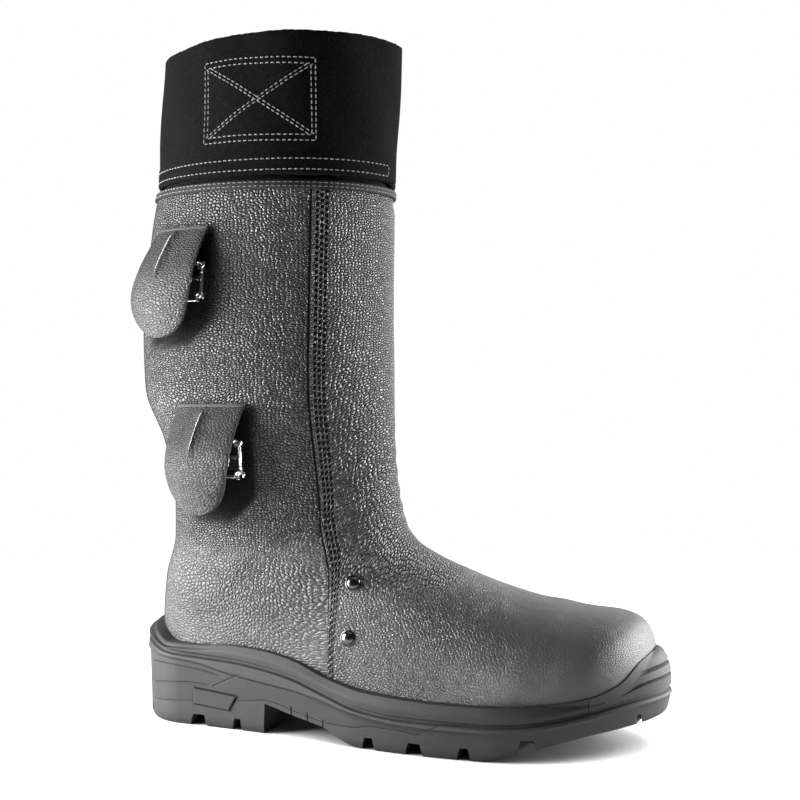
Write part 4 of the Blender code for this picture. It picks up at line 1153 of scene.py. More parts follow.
def rear_tab(outline, heights):
    """Raised tab at the back of the heel."""
    near = ease(TAB_HALF_WIDTH + 1, TAB_HALF_WIDTH, np.abs(outline[:, 1])) * ease(*TAB_ALONG, outline[:, 0])
    return TAB_RISE * near * ease(TAB_LOW - 1, TAB_LOW, heights) * ease(TAB_HIGH + 1, TAB_HIGH, heights)


def sole_wall():
    """Rings of points up the outside of the sole, over its lip and down inside the leather to the floor."""
    outline, outward = sole_outline()
    x = outline[:, 0]
    heights = [ring_height(ring, x) for ring in WALL_RINGS]
    rib = RIB_DEPTH * ease(BUMPER_START + 2, BUMPER_START + 12, x)
    pushes = [ring.push - ring.lean * SOLE_CURVES["lean"](x) - ring.rib * rib for ring in WALL_RINGS]
    rings = []
    for k, ring in enumerate(WALL_RINGS):
        following = min(k + 1, len(WALL_RINGS) - 1)
        for step in range(ring.steps):
            t = step / ring.steps
            height = heights[k] + t * (heights[following] - heights[k])
            push = pushes[k] + t * (pushes[following] - pushes[k]) + rear_tab(outline, height)
            push = np.maximum(push, leather_push(outline, outward, height) + LIP_WALL)
            rings.append(np.column_stack((outline + outward * push[:, None], height)))
    floor = floor_height(x)
    for height in (heights[-1], 0.5 * (heights[-1] + floor), floor + 2.0):
        push = leather_push(outline, outward, height) - LIP_SINK
        rings.append(np.column_stack((outline + outward * push[:, None], height)))
    rings.append(np.column_stack((rings[-1][:, :2], floor - 0.6)))
    return rings


def across_faces(ring):
    """Strips across the sole between the two halves of one ring."""
    faces = [(ring[0], ring[1], ring[-1])]
    for i in range(1, SOLE_STATIONS - 1):
        faces.append((ring[i], ring[i + 1], ring[-i - 1], ring[-i]))
    faces.append((ring[SOLE_STATIONS - 1], ring[SOLE_STATIONS], ring[SOLE_STATIONS + 1]))
    return faces


def box_points(notch, near, far, top):
    """Corners of a cut that narrows toward its inner end and its top."""
    points = []
    taper = min(NOTCH_TAPER, NOTCH_TAPER_SHARE * (notch.end - notch.start))
    for z, narrow in ((NOTCH_BELOW, 0.0), (top, taper)):
        points += [(notch.start + narrow, near, z), (notch.end - narrow, near, z),
                   (notch.end - 2 * narrow, far, z), (notch.start + 2 * narrow, far, z)]
    return points


BOX_FACES = [(0, 1, 2, 3), (7, 6, 5, 4), (0, 4, 5, 1), (1, 5, 6, 2), (2, 6, 7, 3), (3, 7, 4, 0)]
ACROSS = 90.0


def prism(profile):
    """Points and faces of an X-Z outline drawn across the whole sole."""
    count = len(profile)
    points = [(x, -ACROSS, z) for x, z in profile] + [(x, ACROSS, z) for x, z in profile]
    faces = loop_faces(list(range(count)), list(range(count, 2 * count)))
    return points, faces + [tuple(range(count)), tuple(range(2 * count - 1, count - 1, -1))]


def tread_cuts():
    """Arch hollow, notches, slits and channels of the tread in one set of closed cutters."""
    points, faces = prism([(row.x, row.z) for row in ARCH])
    boxes = []
    for notch in NOTCHES:
        middle = (notch.start + notch.end) / 2
        for side in (-1, 1):
            edge = float(sole_edge(np.array(middle), side))
            outer = edge + NOTCH_OUTSIDE * side
            boxes.append(box_points(notch, outer, edge - notch.reach * side, notch.top))
    for channel in CHANNELS:
        boxes.append(box_points(channel, -channel.reach, channel.reach, channel.top))
    for box in boxes:
        faces += [tuple(number + len(points) for number in face) for face in BOX_FACES]
        points += box
    return points, faces


def carve(piece, points, faces, operation):
    """Cut a piece with a closed form, or keep what lies inside it."""
    cutter = add_piece("cutter", points, faces, [])
    modifier = piece.modifiers.new("carve", 'BOOLEAN')
    modifier.object = cutter
    modifier.operation = operation
    modifier.solver = 'EXACT'
    modifier.use_self = True
    bpy.context.view_layer.update()
    graph = bpy.context.evaluated_depsgraph_get()
    carved = bpy.data.meshes.new_from_object(piece.evaluated_get(graph))
    piece.modifiers.clear()
    former = piece.data
    piece.data = carved
    bpy.data.meshes.remove(former)
    bpy.data.objects.remove(cutter)
    piece.data.shade_smooth()
    piece.data.set_sharp_from_angle(angle=math.radians(MOULDED_EDGE))


def cup_zone(drop):
    """Zone above the parting line and behind the toe bumper, lowered by the gap where it cuts."""
    end = BUMPER_START + drop
    low = [(row.x, row.z - drop) for row in PARTING[:-1]] + [(end, PARTING[-1].z - drop)]
    return prism(low + [(end, ACROSS), (PARTING[0].x, ACROSS)])


def make_sole(cup, tread):
    """Cup and tread as one moulded form, cut by the lugs and parted along the tread line."""
    rings = sole_wall()
    numbers = ring_numbers(len(rings), len(rings[0]))
    faces = stacked_faces(numbers) + across_faces(numbers[0]) + across_faces(numbers[-1])
    midsole = add_piece("sole_cup", np.concatenate(rings), faces, [cup])
    carve(midsole, *tread_cuts(), 'DIFFERENCE')
    outsole = midsole.copy()
    outsole.data = midsole.data.copy()
    outsole.name = "sole_tread"
    outsole.data.materials[0] = tread
    bpy.context.scene.collection.objects.link(outsole)
    carve(midsole, *cup_zone(0.0), 'INTERSECT')
    carve(outsole, *cup_zone(PARTING_GAP), 'DIFFERENCE')
    for piece, slot, node in ((midsole, "sole_rubber", "midsole"), (outsole, "tread_rubber", "outsole")):
        settle(piece, slot, node)


# Blank raised plate on each side of the heel: its corners along the foot and upward, and its rise
PLATE_REAR_LOW = np.array((41.0, 12.3))
PLATE_FRONT_LOW = np.array((64.2, 10.4))
PLATE_FRONT_HIGH = np.array((69.2, 18.9))
PLATE_REAR_HIGH = np.array((41.8, 21.2))
PLATE_RISE = 0.8
PLATE_ROOT = -0.6
PLATE_ALONG = 22
PLATE_UP = 10


def plate_shares(count):
    """Shares across the plate, with a soft rim of two rows at both ends."""
    return [0.0, 0.0, 0.02] + [i / count for i in range(1, count)] + [0.98, 1.0, 1.0]


def make_heel_plate(name, side, rubber):
    """Blank raised plate laid on the wall of the heel."""
    rings = sole_wall()
    wall_faces = stacked_faces(ring_numbers(len(rings), len(rings[0])))
    wall = BVHTree.FromPolygons(np.concatenate(rings).tolist(), wall_faces)
    along = plate_shares(PLATE_ALONG)
    upward = plate_shares(PLATE_UP)
    under = []
    over = []
    for j, up in enumerate(upward):
        rear = PLATE_REAR_LOW + up * (PLATE_REAR_HIGH - PLATE_REAR_LOW)
        front = PLATE_FRONT_LOW + up * (PLATE_FRONT_HIGH - PLATE_FRONT_LOW)
        for i, ahead in enumerate(along):
            x, z = rear + ahead * (front - rear)
            place, normal = wall.ray_cast(Vector((x, ACROSS * side, z)), Vector((0, -side, 0)))[:2]
            if place is None:
                raise RuntimeError("The heel plate misses the wall of the sole")
            outward = np.array(normal) * math.copysign(1.0, normal.y * side)
            rim = min(i, j, len(along) - 1 - i, len(upward) - 1 - j)
            rise = (0.5 * PLATE_ROOT, 0.7 * PLATE_RISE, PLATE_RISE)[min(rim, 2)]
            under.append(np.array(place) + outward * PLATE_ROOT)
            over.append(np.array(place) + outward * rise)
    low = ring_numbers(len(upward), len(along))
    high = ring_numbers(len(upward), len(along), len(under))
    faces = grid_faces(high) + grid_faces(low, flip=True) + loop_faces(grid_rim(low), grid_rim(high))
    piece = add_piece("heel_plate_" + name, np.array(under + over), faces, [rubber], sharp=SHARP_EDGE)
    settle(piece, "sole_rubber")


# Suede wrap cuff and the stitched binding under it
CUFF_BOTTOM = 300.4
CUFF_TOP = 376.5
CUFF_THICK = 2.4
CUFF_LEAN = 0.048
CUFF_DROP = 6.0
CUFF_START = -7.0
CUFF_OVERLAP = 50.0
CUFF_SEAT = 0.9
CUFF_GAP = 0.6
CUFF_SPREAD = 3.0
CUFF_SPREAD_START = (300, 332)
CUFF_SPREAD_END = (334, 350)
CUFF_LAP_END = (CUFF_OVERLAP + 6, CUFF_OVERLAP + 48)
CUFF_RADIUS = 58.0
CUFF_HALF_LENGTH = 65.8
CUFF_HALF_WIDTH = 51.0
CUFF_CENTRE = 72.2
CUFF_STATIONS = 240
HEM_TOP = 311.4
HEM_RISE = 0.45
HEM_ROWS = (308.6, 302.9)
BOX_CORNERS = ((107.5, 363.6), (53.5, 361.6), (51.5, 318.2), (106.0, 319.0))
BOX_INSET = 3.0
BINDING_BOTTOM = 292.8
BINDING_TOP = 297.3
BINDING_THICK = 1.8
BINDING_ROWS = (294.1, 296.1)
BINDING_STATIONS = 200


def cuff_lift(travel):
    """Rise of the outer end of the wrap over its inner end, and the slack beside that end."""
    spread = CUFF_SPREAD * ease(*CUFF_SPREAD_START, travel) * (1 - ease(*CUFF_SPREAD_END, travel))
    return (CUFF_THICK + CUFF_GAP) * (1 - ease(*CUFF_LAP_END, travel)) + spread


def cuff_point(degrees, z, push):
    """Point of the cuff's plan oval, leaning forward with height and dropping at the back."""
    turn = math.radians(degrees)
    share = (z - CUFF_BOTTOM) / (CUFF_TOP - CUFF_BOTTOM)
    normal = np.array((math.cos(turn) / CUFF_HALF_LENGTH, -math.sin(turn) / CUFF_HALF_WIDTH, 0))
    normal /= np.linalg.norm(normal)
    centre = CUFF_CENTRE + CUFF_LEAN * (z - CUFF_BOTTOM)
    place = np.array((centre + CUFF_HALF_LENGTH * math.cos(turn), -CUFF_HALF_WIDTH * math.sin(turn),
                      z - CUFF_DROP * share * max(0.0, -math.cos(turn))))
    return place + normal * push, normal


def cuff_relief(travel, z):
    """Hem band and the soft waves of the suede."""
    hem = HEM_RISE * ease(HEM_TOP + 0.5, HEM_TOP - 0.5, z) * ease(5, 7, travel)
    wide = 0.5 * math.sin(math.radians(travel * 5.0 + z * 2.2))
    narrow = 0.3 * math.sin(math.radians(travel * 11 - z * 5))
    return hem + (wide + narrow) * ease(CUFF_BOTTOM, CUFF_BOTTOM + 25, z)


def cuff_surface(degrees, z):
    """Place and direction on the outer face of the wrap."""
    travel = degrees - CUFF_START
    push = CUFF_SEAT + cuff_lift(travel) + CUFF_THICK + cuff_relief(travel, z)
    return cuff_point(degrees, z, push)


def cut_wobble(travel, seed):
    """Small unevenness of a hand-cut suede edge."""
    angle = math.radians(travel)
    wide = 0.22 * math.sin(9 * angle + seed)
    return wide + 0.10 * math.sin(41 * angle + 2 * seed) + 0.12 * math.sin(97 * angle)


def make_cuff(suede):
    """Suede wrap: one strip round the collar whose outer end laps over its inner end at the front."""
    edge = 1.0
    heights = np.concatenate(([CUFF_BOTTOM, CUFF_BOTTOM + 0.35, CUFF_BOTTOM + edge],
                              np.linspace(CUFF_BOTTOM + 3, HEM_TOP - 0.6, 4),
                              np.linspace(HEM_TOP + 0.6, CUFF_TOP - edge, 26),
                              [CUFF_TOP - 0.35, CUFF_TOP]))
    inset = np.zeros(len(heights))
    inset[:3] = (0.9, 0.35, 0.0)
    inset[-2:] = (0.35, 0.9)
    points = []
    for i in range(CUFF_STATIONS + 1):
        travel = (360 + CUFF_OVERLAP) * i / CUFF_STATIONS
        degrees = CUFF_START + travel
        inner = CUFF_SEAT + cuff_lift(travel)
        outside = []
        inside = []
        end = 0.8 * max(0.0, 1 - min(i, CUFF_STATIONS - i) / 1.5)
        for z, less in zip(heights, inset):
            share = (z - CUFF_BOTTOM) / (CUFF_TOP - CUFF_BOTTOM)
            level = z + cut_wobble(travel, 1.0) * (1 - share) ** 6 + cut_wobble(travel, 2.6) * share ** 6
            wave = cuff_relief(travel, z)
            outside.append(cuff_point(degrees, level, inner + CUFF_THICK + wave - max(less, end))[0])
            inside.append(cuff_point(degrees, level, inner + max(less, end) * 0.6)[0])
        points += outside + inside[::-1]
    rows = ring_numbers(CUFF_STATIONS + 1, 2 * len(heights))
    faces = [tuple(rows[0]), tuple(rows[-1][::-1])] + stacked_faces(rows)
    piece = add_piece("suede_cuff", points, faces, [suede], sharp=ROLLED_EDGE)
    settle(piece, "suede", "cuff")


STITCH_SIDES = 6
STITCH_END = 0.12
# Shape of one stitch from end to end: place, size and rise over the surface
StitchRing = namedtuple("StitchRing", "share size rise")
STITCH_RINGS = [StitchRing(0.0, 0.45, -0.9), StitchRing(0.12, 0.85, -0.1), StitchRing(0.35, 1.0, 0.35),
                StitchRing(0.65, 1.0, 0.35), StitchRing(0.88, 0.85, -0.1), StitchRing(1.0, 0.45, -0.9)]


def stitch_points(start, end, normal, radius):
    """Rings of points of one stitch that dips into the material at both ends."""
    along = (end - start) / np.linalg.norm(end - start)
    side = np.cross(normal, along)
    points = []
    for ring in STITCH_RINGS:
        centre = start + (end - start) * ring.share + normal * radius * ring.rise
        for k in range(STITCH_SIDES):
            turn = 2 * math.pi * k / STITCH_SIDES
            points.append(centre + radius * ring.size * (side * math.cos(turn) + normal * math.sin(turn)))
    return points


def stitched_rows(name, rows, settings, thread, slot, thin=1.0):
    """One piece of thread stitches along rows of places and directions."""
    points = []
    faces = []
    radius = thin * settings.stitch_width / 2
    for row in rows:
        places = np.array([place for place, normal in row])
        normals = np.array([normal for place, normal in row])
        run = run_along(places)
        count = max(1, round(run[-1] / settings.stitch_pitch))
        pitch = run[-1] / count
        for i in range(count):
            ends = (i * pitch + STITCH_END * pitch, (i + 1) * pitch - STITCH_END * pitch)
            start, end, normal = (np.array([np.interp(at, run, source[:, k]) for k in range(3)])
                                  for at, source in ((ends[0], places), (ends[1], places),
                                                     (sum(ends) / 2, normals)))
            first = len(points)
            points += stitch_points(start, end, normal / np.linalg.norm(normal), radius)
            loops = ring_numbers(len(STITCH_RINGS), STITCH_SIDES, first)
            faces += stacked_faces(loops) + [tuple(loops[0][::-1]), tuple(loops[-1])]
    piece = add_piece(name, points, faces, [thread])
    settle(piece, slot)


def cuff_line(first, second, steps=24):
    """Places on the cuff between two spots given by angle and height."""
    return [cuff_surface(first[0] + (second[0] - first[0]) * t, first[1] + (second[1] - first[1]) * t)
            for t in np.linspace(0, 1, steps + 1)]


def inset_corners(corners, inset):
    """Corners of the stitched box moved toward its middle by a distance in millimetres."""
    per_degree = math.radians(1) * CUFF_RADIUS
    middle = np.mean(corners, axis=0)
    moved = []
    for degrees, z in corners:
        moved.append((degrees + math.copysign(0.65 * inset / per_degree, middle[0] - degrees),
                      z + math.copysign(inset, middle[1] - z)))
    return moved


def cuff_stitch_rows():
    """Stitched box with its cross, and the two rows of the hem with their front end."""
    rows = []
    inner = inset_corners(BOX_CORNERS, BOX_INSET)
    for corners in (BOX_CORNERS, inner):
        for i in range(4):
            rows.append(cuff_line(corners[i], corners[(i + 1) % 4]))
    shift = 1.3
    for first, second in ((0, 2), (1, 3)):
        for side in (-1, 1):
            a = (inner[first][0] + side * shift, inner[first][1])
            b = (inner[second][0] + side * shift, inner[second][1])
            rows.append(cuff_line(a, b))
    start = 8.0
    end = 350.0
    for z in HEM_ROWS:
        rows.append(cuff_line((start, z), (end, z), 160))
    rows.append(cuff_line((start, HEM_ROWS[1]), (start, HEM_ROWS[0]), 4))
    return rows


def make_binding(leather):
    """Leather strip round the shaft just below the cuff, with rolled edges."""
    rolled = 0.7
    low = 0.1
    profile = [(BINDING_BOTTOM, low), (BINDING_BOTTOM, BINDING_THICK - rolled)]
    profile += [(BINDING_BOTTOM + 0.3 * rolled, BINDING_THICK - 0.3 * rolled)]
    profile += [(z, BINDING_THICK) for z in np.linspace(BINDING_BOTTOM + rolled, BINDING_TOP - rolled, 6)]
    profile += [(BINDING_TOP - 0.3 * rolled, BINDING_THICK - 0.3 * rolled)]
    profile += [(BINDING_TOP, BINDING_THICK - rolled), (BINDING_TOP, low)]
    points = []
    for i in range(BINDING_STATIONS):
        degrees = 360 * i / BINDING_STATIONS
        for z, push in profile:
            points.append(LEATHER.around(min(z, BINDING_TOP), degrees, push)[0])
    rows = ring_numbers(BINDING_STATIONS, len(profile))
    faces = stacked_faces(rows + rows[:1])
    piece = add_piece("leather_binding", points, faces, [leather], sharp=ROLLED_EDGE)
    settle(piece, "grain_leather", "top_binding")


def binding_stitch_rows():
    """Two rows of stitches round the binding."""
    return [[LEATHER.around(z, degrees, BINDING_THICK) for degrees in np.linspace(0, 360, 121)]
            for z in BINDING_ROWS]


# Leather covers over the buckles: top height, place round the shaft, widths, length, lean and stand-off
Cover = namedtuple("Cover", "name top around top_width lobe_width length lean stand")
COVERS = [
    Cover("upper", 274.0, 121.75, 38.0, 44.0, 60.0, 3.0, 13.0),
    Cover("lower", 178.5, 102.25, 44.0, 50.0, 60.0, 8.7, 13.0),
]
COVER_THICK = 2.2
COVER_GAP = 0.3
COVER_RADIUS = 58.0
COVER_LOBE = 0.6
COVER_CREST = 0.65
COVER_TUCK = 0.2
COVER_CREASE = 2.8
COVER_CREASE_OFFSET = 1.5
COVER_CREASE_WIDTH = 2.6
COVER_CREASE_START = (0.03, 0.09)
COVER_CREASE_END = (0.34, 0.62)
COVER_BULGE = 2.2
COVER_BULGE_START = (0.35, 0.75)
COVER_BULGE_END = (0.85, 1.0)
COVER_TIP_HALF = 3.0
COVER_RIM = 0.6
COVER_LIP = 0.9
COVER_LIP_ROWS = 3
COVER_LIP_FALLS = (0.0, 0.006, 0.022, 0.027)
COVER_DOWN = 44
COVER_HALF = 20
# Shadow on the leather beside the covers: reach past half the width, drawing in at the tip, and softness
SHADE_BESIDE = 4.5
SHADE_TAPER = 18.0
SHADE_SOFT = 3.0


def cover_layers(cover):
    """Under and upper face of one cover as grids, and each point's fall and distance from the crease."""
    outward = LEATHER.around(cover.top, cover.around)[1] * (1, 1, 0)
    outward /= np.linalg.norm(outward)
    under = []
    over = []
    ways = []
    falls = list(COVER_LIP_FALLS)
    falls += [math.sin(0.5 * math.pi * i / COVER_DOWN) ** 1.15 for i in range(2, COVER_DOWN + 1)]
    for fall in falls:
        z = cover.top - cover.length * fall
        full = cover.top_width + (cover.lobe_width - cover.top_width) * float(ease(0.0, COVER_LOBE, fall))
        tip = max(0.0, 1 - max(0.0, (fall - 0.55) / 0.45) ** 2.2)
        half = max(0.5 * full * math.sqrt(tip), COVER_TIP_HALF)
        rise = math.sin(0.5 * math.pi * min(fall / COVER_CREST, 1.0))
        stand = cover.stand * (rise - COVER_TUCK * float(ease(COVER_CREST, 1.0, fall)))
        lean = cover.lean * min(fall / COVER_LOBE, 1.0)
        lip = COVER_LIP * (1 - ease(0.020, 0.028, fall)) * (0.5 + 0.5 * ease(0.0, 0.006, fall))
        crease_fade = ease(*COVER_CREASE_START, fall) * (1 - ease(*COVER_CREASE_END, fall))
        bulge_fade = ease(*COVER_BULGE_START, fall) * (1 - ease(*COVER_BULGE_END, fall))
        under_row = []
        over_row = []
        for j in range(-COVER_HALF, COVER_HALF + 1):
            share = j / COVER_HALF
            side = half * share - COVER_CREASE_OFFSET
            degrees = cover.around + math.degrees((half * share + lean) / COVER_RADIUS)
            place, normal = LEATHER.around(z, degrees, COVER_GAP)
            crease = COVER_CREASE * crease_fade * math.exp(-abs(side) / COVER_CREASE_WIDTH)
            bulge = COVER_BULGE * (1 - share * share) * bulge_fade
            rim = COVER_RIM * max(abs(share) ** 16, float(ease(0.985, 1.0, fall)) ** 2)
            low = place + outward * (stand + bulge)
            ways.append((fall, side))
            under_row.append(low + normal * 0.5 * rim)
            over_row.append(low + normal * (COVER_THICK + crease + lip - rim))
        under.append(under_row)
        over.append(over_row)
    return np.array(under), np.array(over), np.array(ways)


def cover_shade(points):
    """Share of the shadow beside and below the covers for each point of the leather."""
    turn = np.degrees(np.arctan2(-points[:, 1], points[:, 0] - SHAFT_AXIS))
    shade = np.zeros(len(points))
    for cover in COVERS:
        fall = (cover.top - points[:, 2]) / cover.length
        across = np.radians(cover.around - turn) * COVER_RADIUS
        limit = 0.5 * cover.top_width + SHADE_BESIDE - SHADE_TAPER * ease(0.80, 1.12, fall)
        beside = 1 - ease(limit - SHADE_SOFT, limit + SHADE_SOFT, across)
        reach = ease(0.0, 0.06, fall) * (1 - ease(1.04, 1.14, fall)) * ease(-30.0, -18.0, across)
        shade = np.maximum(shade, beside * reach)
    return shade


def make_cover(cover, leather, cut_edge):
    """Tongue of leather held along its top edge, creased down its middle and round at its free end."""
    under, over, ways = cover_layers(cover)
    rows, width = under.shape[:2]
    low = ring_numbers(rows, width)
    high = ring_numbers(rows, width, rows * width)
    top_faces = grid_faces(high, flip=True)
    other_faces = grid_faces(low) + loop_faces(grid_rim(low), grid_rim(high))
    lip_count = COVER_LIP_ROWS * (width - 1)
    slots = [1] * lip_count + [0] * (len(top_faces) - lip_count) + [1] * len(other_faces)
    points = np.concatenate((under.reshape(-1, 3), over.reshape(-1, 3)))
    piece = add_piece("leather_cover_" + cover.name, points, top_faces + other_faces,
                      [leather, cut_edge], slots, SHARP_EDGE)
    for name, values in zip(("cover_fall", "crease_side"), ways.T):
        store_values(piece, name, np.concatenate((values, values)))
    settle(piece, "grain_leather", "flap_" + cover.name)


# Wire buckles under the covers and their strap tips
Buckle = namedtuple("Buckle", "name z around")
BUCKLES = [Buckle("upper", 244.0, 111.0), Buckle("lower", 150.0, 91.5)]
BUCKLE_WIDTH = 14.0
BUCKLE_HEIGHT = 20.0
BUCKLE_CORNER = 4.0
WIRE_RADIUS = 1.2
STRAP_WIDTH = 14.0
STRAP_LENGTH = 26.0
STRAP_THICK = 1.6
STRAP_BACK = 5.0
FRAME_PUSH = 4.0
LEVER_PUSH = 6.7
LEVER_ROUTE = [(-7.5, 1.0), (-4.6, 1.1), (-2.0, 1.0), (0.4, 0.2), (2.0, -1.5), (3.2, -3.7), (4.0, -6.0),
               (4.7, -9.0), (5.0, -12.0), (4.8, -13.8), (4.0, -15.0), (2.9, -15.8), (1.5, -16.0)]
ROLLER_RADIUS = 2.0
ROLLER_LENGTH = 9.0
CURL_RADIUS = 0.8
CURL_BACK = 2.4
CURL_UP = 2.0
CURL_INSET = 1.2
CURL_PUSH = 1.5
CURL_TURN = 300
CURL_POINTS = 22
KNOB_LENGTH = 4.0
KNOB_RADIUS = 1.9
KNOB_PLACE = (-2.6, 1.0, 0.2)
WIRE_SIDES = 12


def tube(route, radius, closed, sides=WIRE_SIDES):
    """Points and faces of a round bar along a route; radius may change along it."""
    route = np.asarray(route, dtype=float)
    count = len(route)
    radii = np.broadcast_to(radius, count)
    if closed:
        ahead = np.roll(route, -1, axis=0) - np.roll(route, 1, axis=0)
    else:
        ahead = np.gradient(route, axis=0)
    ahead /= np.linalg.norm(ahead, axis=1, keepdims=True)
    centre = route.mean(axis=0)
    guide = np.cross(route[1] - centre, route[-2] - centre)
    guide = guide / max(np.linalg.norm(guide), 1e-6)
    if abs(guide @ ahead[0]) > 0.9 or np.linalg.norm(guide) < 0.5:
        guide = np.array((0.0, 0.0, 1.0)) if abs(ahead[0][2]) < 0.9 else np.array((1.0, 0.0, 0.0))
    points = []
    for place, forward, size in zip(route, ahead, radii):
        side = np.cross(forward, guide)
        side /= np.linalg.norm(side)
        up = np.cross(side, forward)
        guide = up
        for k in range(sides):
            turn = 2 * math.pi * k / sides
            points.append(place + size * (side * math.cos(turn) + up * math.sin(turn)))
    loops = ring_numbers(count, sides)
    faces = stacked_faces(loops + loops[:1] if closed else loops)
    if not closed:
        faces += [tuple(loops[0][::-1]), tuple(loops[-1])]
    return points, faces


def rounded_rectangle(width, height, corner, steps):
    """Plan points of a rectangle with round corners."""
    points = []
    for turn, sx, sy in ((0, 1, 1), (90, -1, 1), (180, -1, -1), (270, 1, -1)):
        for i in range(steps + 1):
            angle = math.radians(turn + 90 * i / steps)
            points.append((sx * (width / 2 - corner) + corner * math.cos(angle),
                           sy * (height / 2 - corner) + corner * math.sin(angle)))
    return points


def domed(length, radius, steps=5):
    """Places along a bar and its radii, with both ends rounded."""
    turns = np.linspace(0, 0.5 * math.pi, steps)
    ends = 0.6 * radius * (1 - np.sin(turns))
    places = np.concatenate((ends, length - ends[::-1]))
    sizes = radius * np.maximum(np.concatenate((np.sin(turns), np.sin(turns)[::-1])), 0.3)
    order = np.argsort(places, kind="stable")
    return places[order], sizes[order]


class BuckleSeat:
    """Places on and over the shaft round one buckle: back along the shaft, up and outward."""

    def __init__(self, buckle):
        self.middle, self.outward = LEATHER.around(buckle.z, buckle.around)
        up = np.array((0.0, 0.0, 1.0)) - self.outward * self.outward[2]
        self.up = up / np.linalg.norm(up)
        rear = np.cross(self.outward, self.up)
        self.rear = -rear if rear[0] > 0 else rear

    def place(self, back, height, push):
        """Point at three distances from the middle of the buckle."""
        return self.middle + self.rear * back + self.up * height + self.outward * push


def joined(parts):
    """Points and faces of several closed forms in one list."""
    points = []
    faces = []
    for more_points, more_faces in parts:
        faces += [tuple(number + len(points) for number in face) for face in more_faces]
        points += list(more_points)
    return points, faces


def make_buckle(buckle, steel, leather):
    """Strap tip on the shaft, wire frame with its roller and end curls, and the closed lever."""
    seat = BuckleSeat(buckle)
    outline = rounded_rectangle(BUCKLE_WIDTH, BUCKLE_HEIGHT, BUCKLE_CORNER, 8)
    parts = [tube([seat.place(x, y, FRAME_PUSH) for x, y in outline], WIRE_RADIUS, True)]
    places, sizes = domed(ROLLER_LENGTH, ROLLER_RADIUS)
    roller = [seat.place(-BUCKLE_WIDTH / 2, at - ROLLER_LENGTH / 2, FRAME_PUSH) for at in places]
    parts.append(tube(roller, sizes, False))
    for end in (-1, 1):
        curl = []
        for turn in np.linspace(0, CURL_TURN, CURL_POINTS):
            angle = math.radians(turn)
            back = -BUCKLE_WIDTH / 2 + CURL_BACK * math.sin(angle)
            height = end * (BUCKLE_HEIGHT / 2 - CURL_INSET + CURL_UP * math.cos(angle))
            curl.append(seat.place(back, height, FRAME_PUSH + CURL_PUSH))
        parts.append(tube(curl, CURL_RADIUS, False))
    frame_piece = add_piece("buckle_wire_" + buckle.name, *joined(parts), [steel], sharp=SHARP_EDGE)
    settle(frame_piece, "bright_steel", "buckle_frame_" + buckle.name)
    route = [seat.place(x, y, LEVER_PUSH) for x, y in LEVER_ROUTE]
    places, sizes = domed(KNOB_LENGTH, KNOB_RADIUS)
    back, height, push = KNOB_PLACE
    knob = [seat.place(back + 0.4 * at, height - at, LEVER_PUSH + push) for at in places]
    parts = [tube(route, WIRE_RADIUS, False), tube(knob, sizes, False)]
    lever = add_piece("buckle_hook_" + buckle.name, *joined(parts), [steel], sharp=SHARP_EDGE)
    settle(lever, "bright_steel", "buckle_lever_" + buckle.name)
    make_strap(buckle, leather)


def make_strap(buckle, leather):
    """Strap tip that lies on the shaft under the buckle."""
    points = []
    steps = 18
    profile = [(-0.5, 0.2), (-0.5, STRAP_THICK - 0.4), (-0.47, STRAP_THICK), (0.0, STRAP_THICK),
               (0.47, STRAP_THICK), (0.5, STRAP_THICK - 0.4), (0.5, 0.2)]
    for i in range(steps + 1):
        back = STRAP_LENGTH * (i / steps - 0.5)
        degrees = buckle.around + math.degrees((back + STRAP_BACK) / COVER_RADIUS)
        for height, push in profile:
            points.append(LEATHER.around(buckle.z + height * STRAP_WIDTH, degrees, push)[0])
    rows = ring_numbers(steps + 1, len(profile))
    faces = [tuple(rows[0][::-1]), tuple(rows[-1])] + stacked_faces(rows)
    strap = add_piece("buckle_tip_" + buckle.name, points, faces, [leather], sharp=SHARP_EDGE)
    settle(strap, "grain_leather", "buckle_strap_" + buckle.name)


# Dome rivets at the foot of the lap
Rivet = namedtuple("Rivet", "name x z")
RIVETS = [Rivet("upper", 136.4, 83.7), Rivet("lower", 136.6, 55.9)]
RIVET_RADIUS = 4.2
RIVET_HEIGHT = 2.6
RIVET_SIDES = 40
RIVET_LIP = 0.55


def make_rivet(rivet, side, steel):
    """Polished dome with a low rolled lip, pressed a little into the leather."""
    seat, outward = LEATHER.beside(rivet.x, rivet.z, side)
    first = np.array((1.0, 0.0, 0.0)) - outward * outward[0]
    first /= np.linalg.norm(first)
    second = np.cross(outward, first)
    profile = [(1.0, -0.8), (1.06, 0.3), (1.03, RIVET_LIP), (0.95, RIVET_LIP + 0.12)]
    profile.append((0.90, RIVET_LIP + 0.1))
    for turn in np.linspace(0.12, 1.0, 9):
        angle = 0.5 * math.pi * turn
        profile.append((0.88 * math.cos(angle), RIVET_LIP + (RIVET_HEIGHT - RIVET_LIP) * math.sin(angle)))
    points = []
    for size, rise in profile[:-1]:
        for k in range(RIVET_SIDES):
            turn = 2 * math.pi * k / RIVET_SIDES
            spoke = first * math.cos(turn) + second * math.sin(turn)
            points.append(seat + spoke * RIVET_RADIUS * size + outward * rise)
    points.append(seat + outward * RIVET_HEIGHT)
    loops = ring_numbers(len(profile) - 1, RIVET_SIDES)
    faces = [tuple(loops[0][::-1])] + stacked_faces(loops)
    top = len(points) - 1
    faces += [(loops[-1][k], loops[-1][(k + 1) % RIVET_SIDES], top) for k in range(RIVET_SIDES)]
    name = ("outer_" if side < 0 else "inner_") + rivet.name
    piece = add_piece("dome_rivet_" + name, points, faces, [steel], sharp=ROLLED_EDGE)
    settle(piece, "dark_steel", "rivet_" + name)


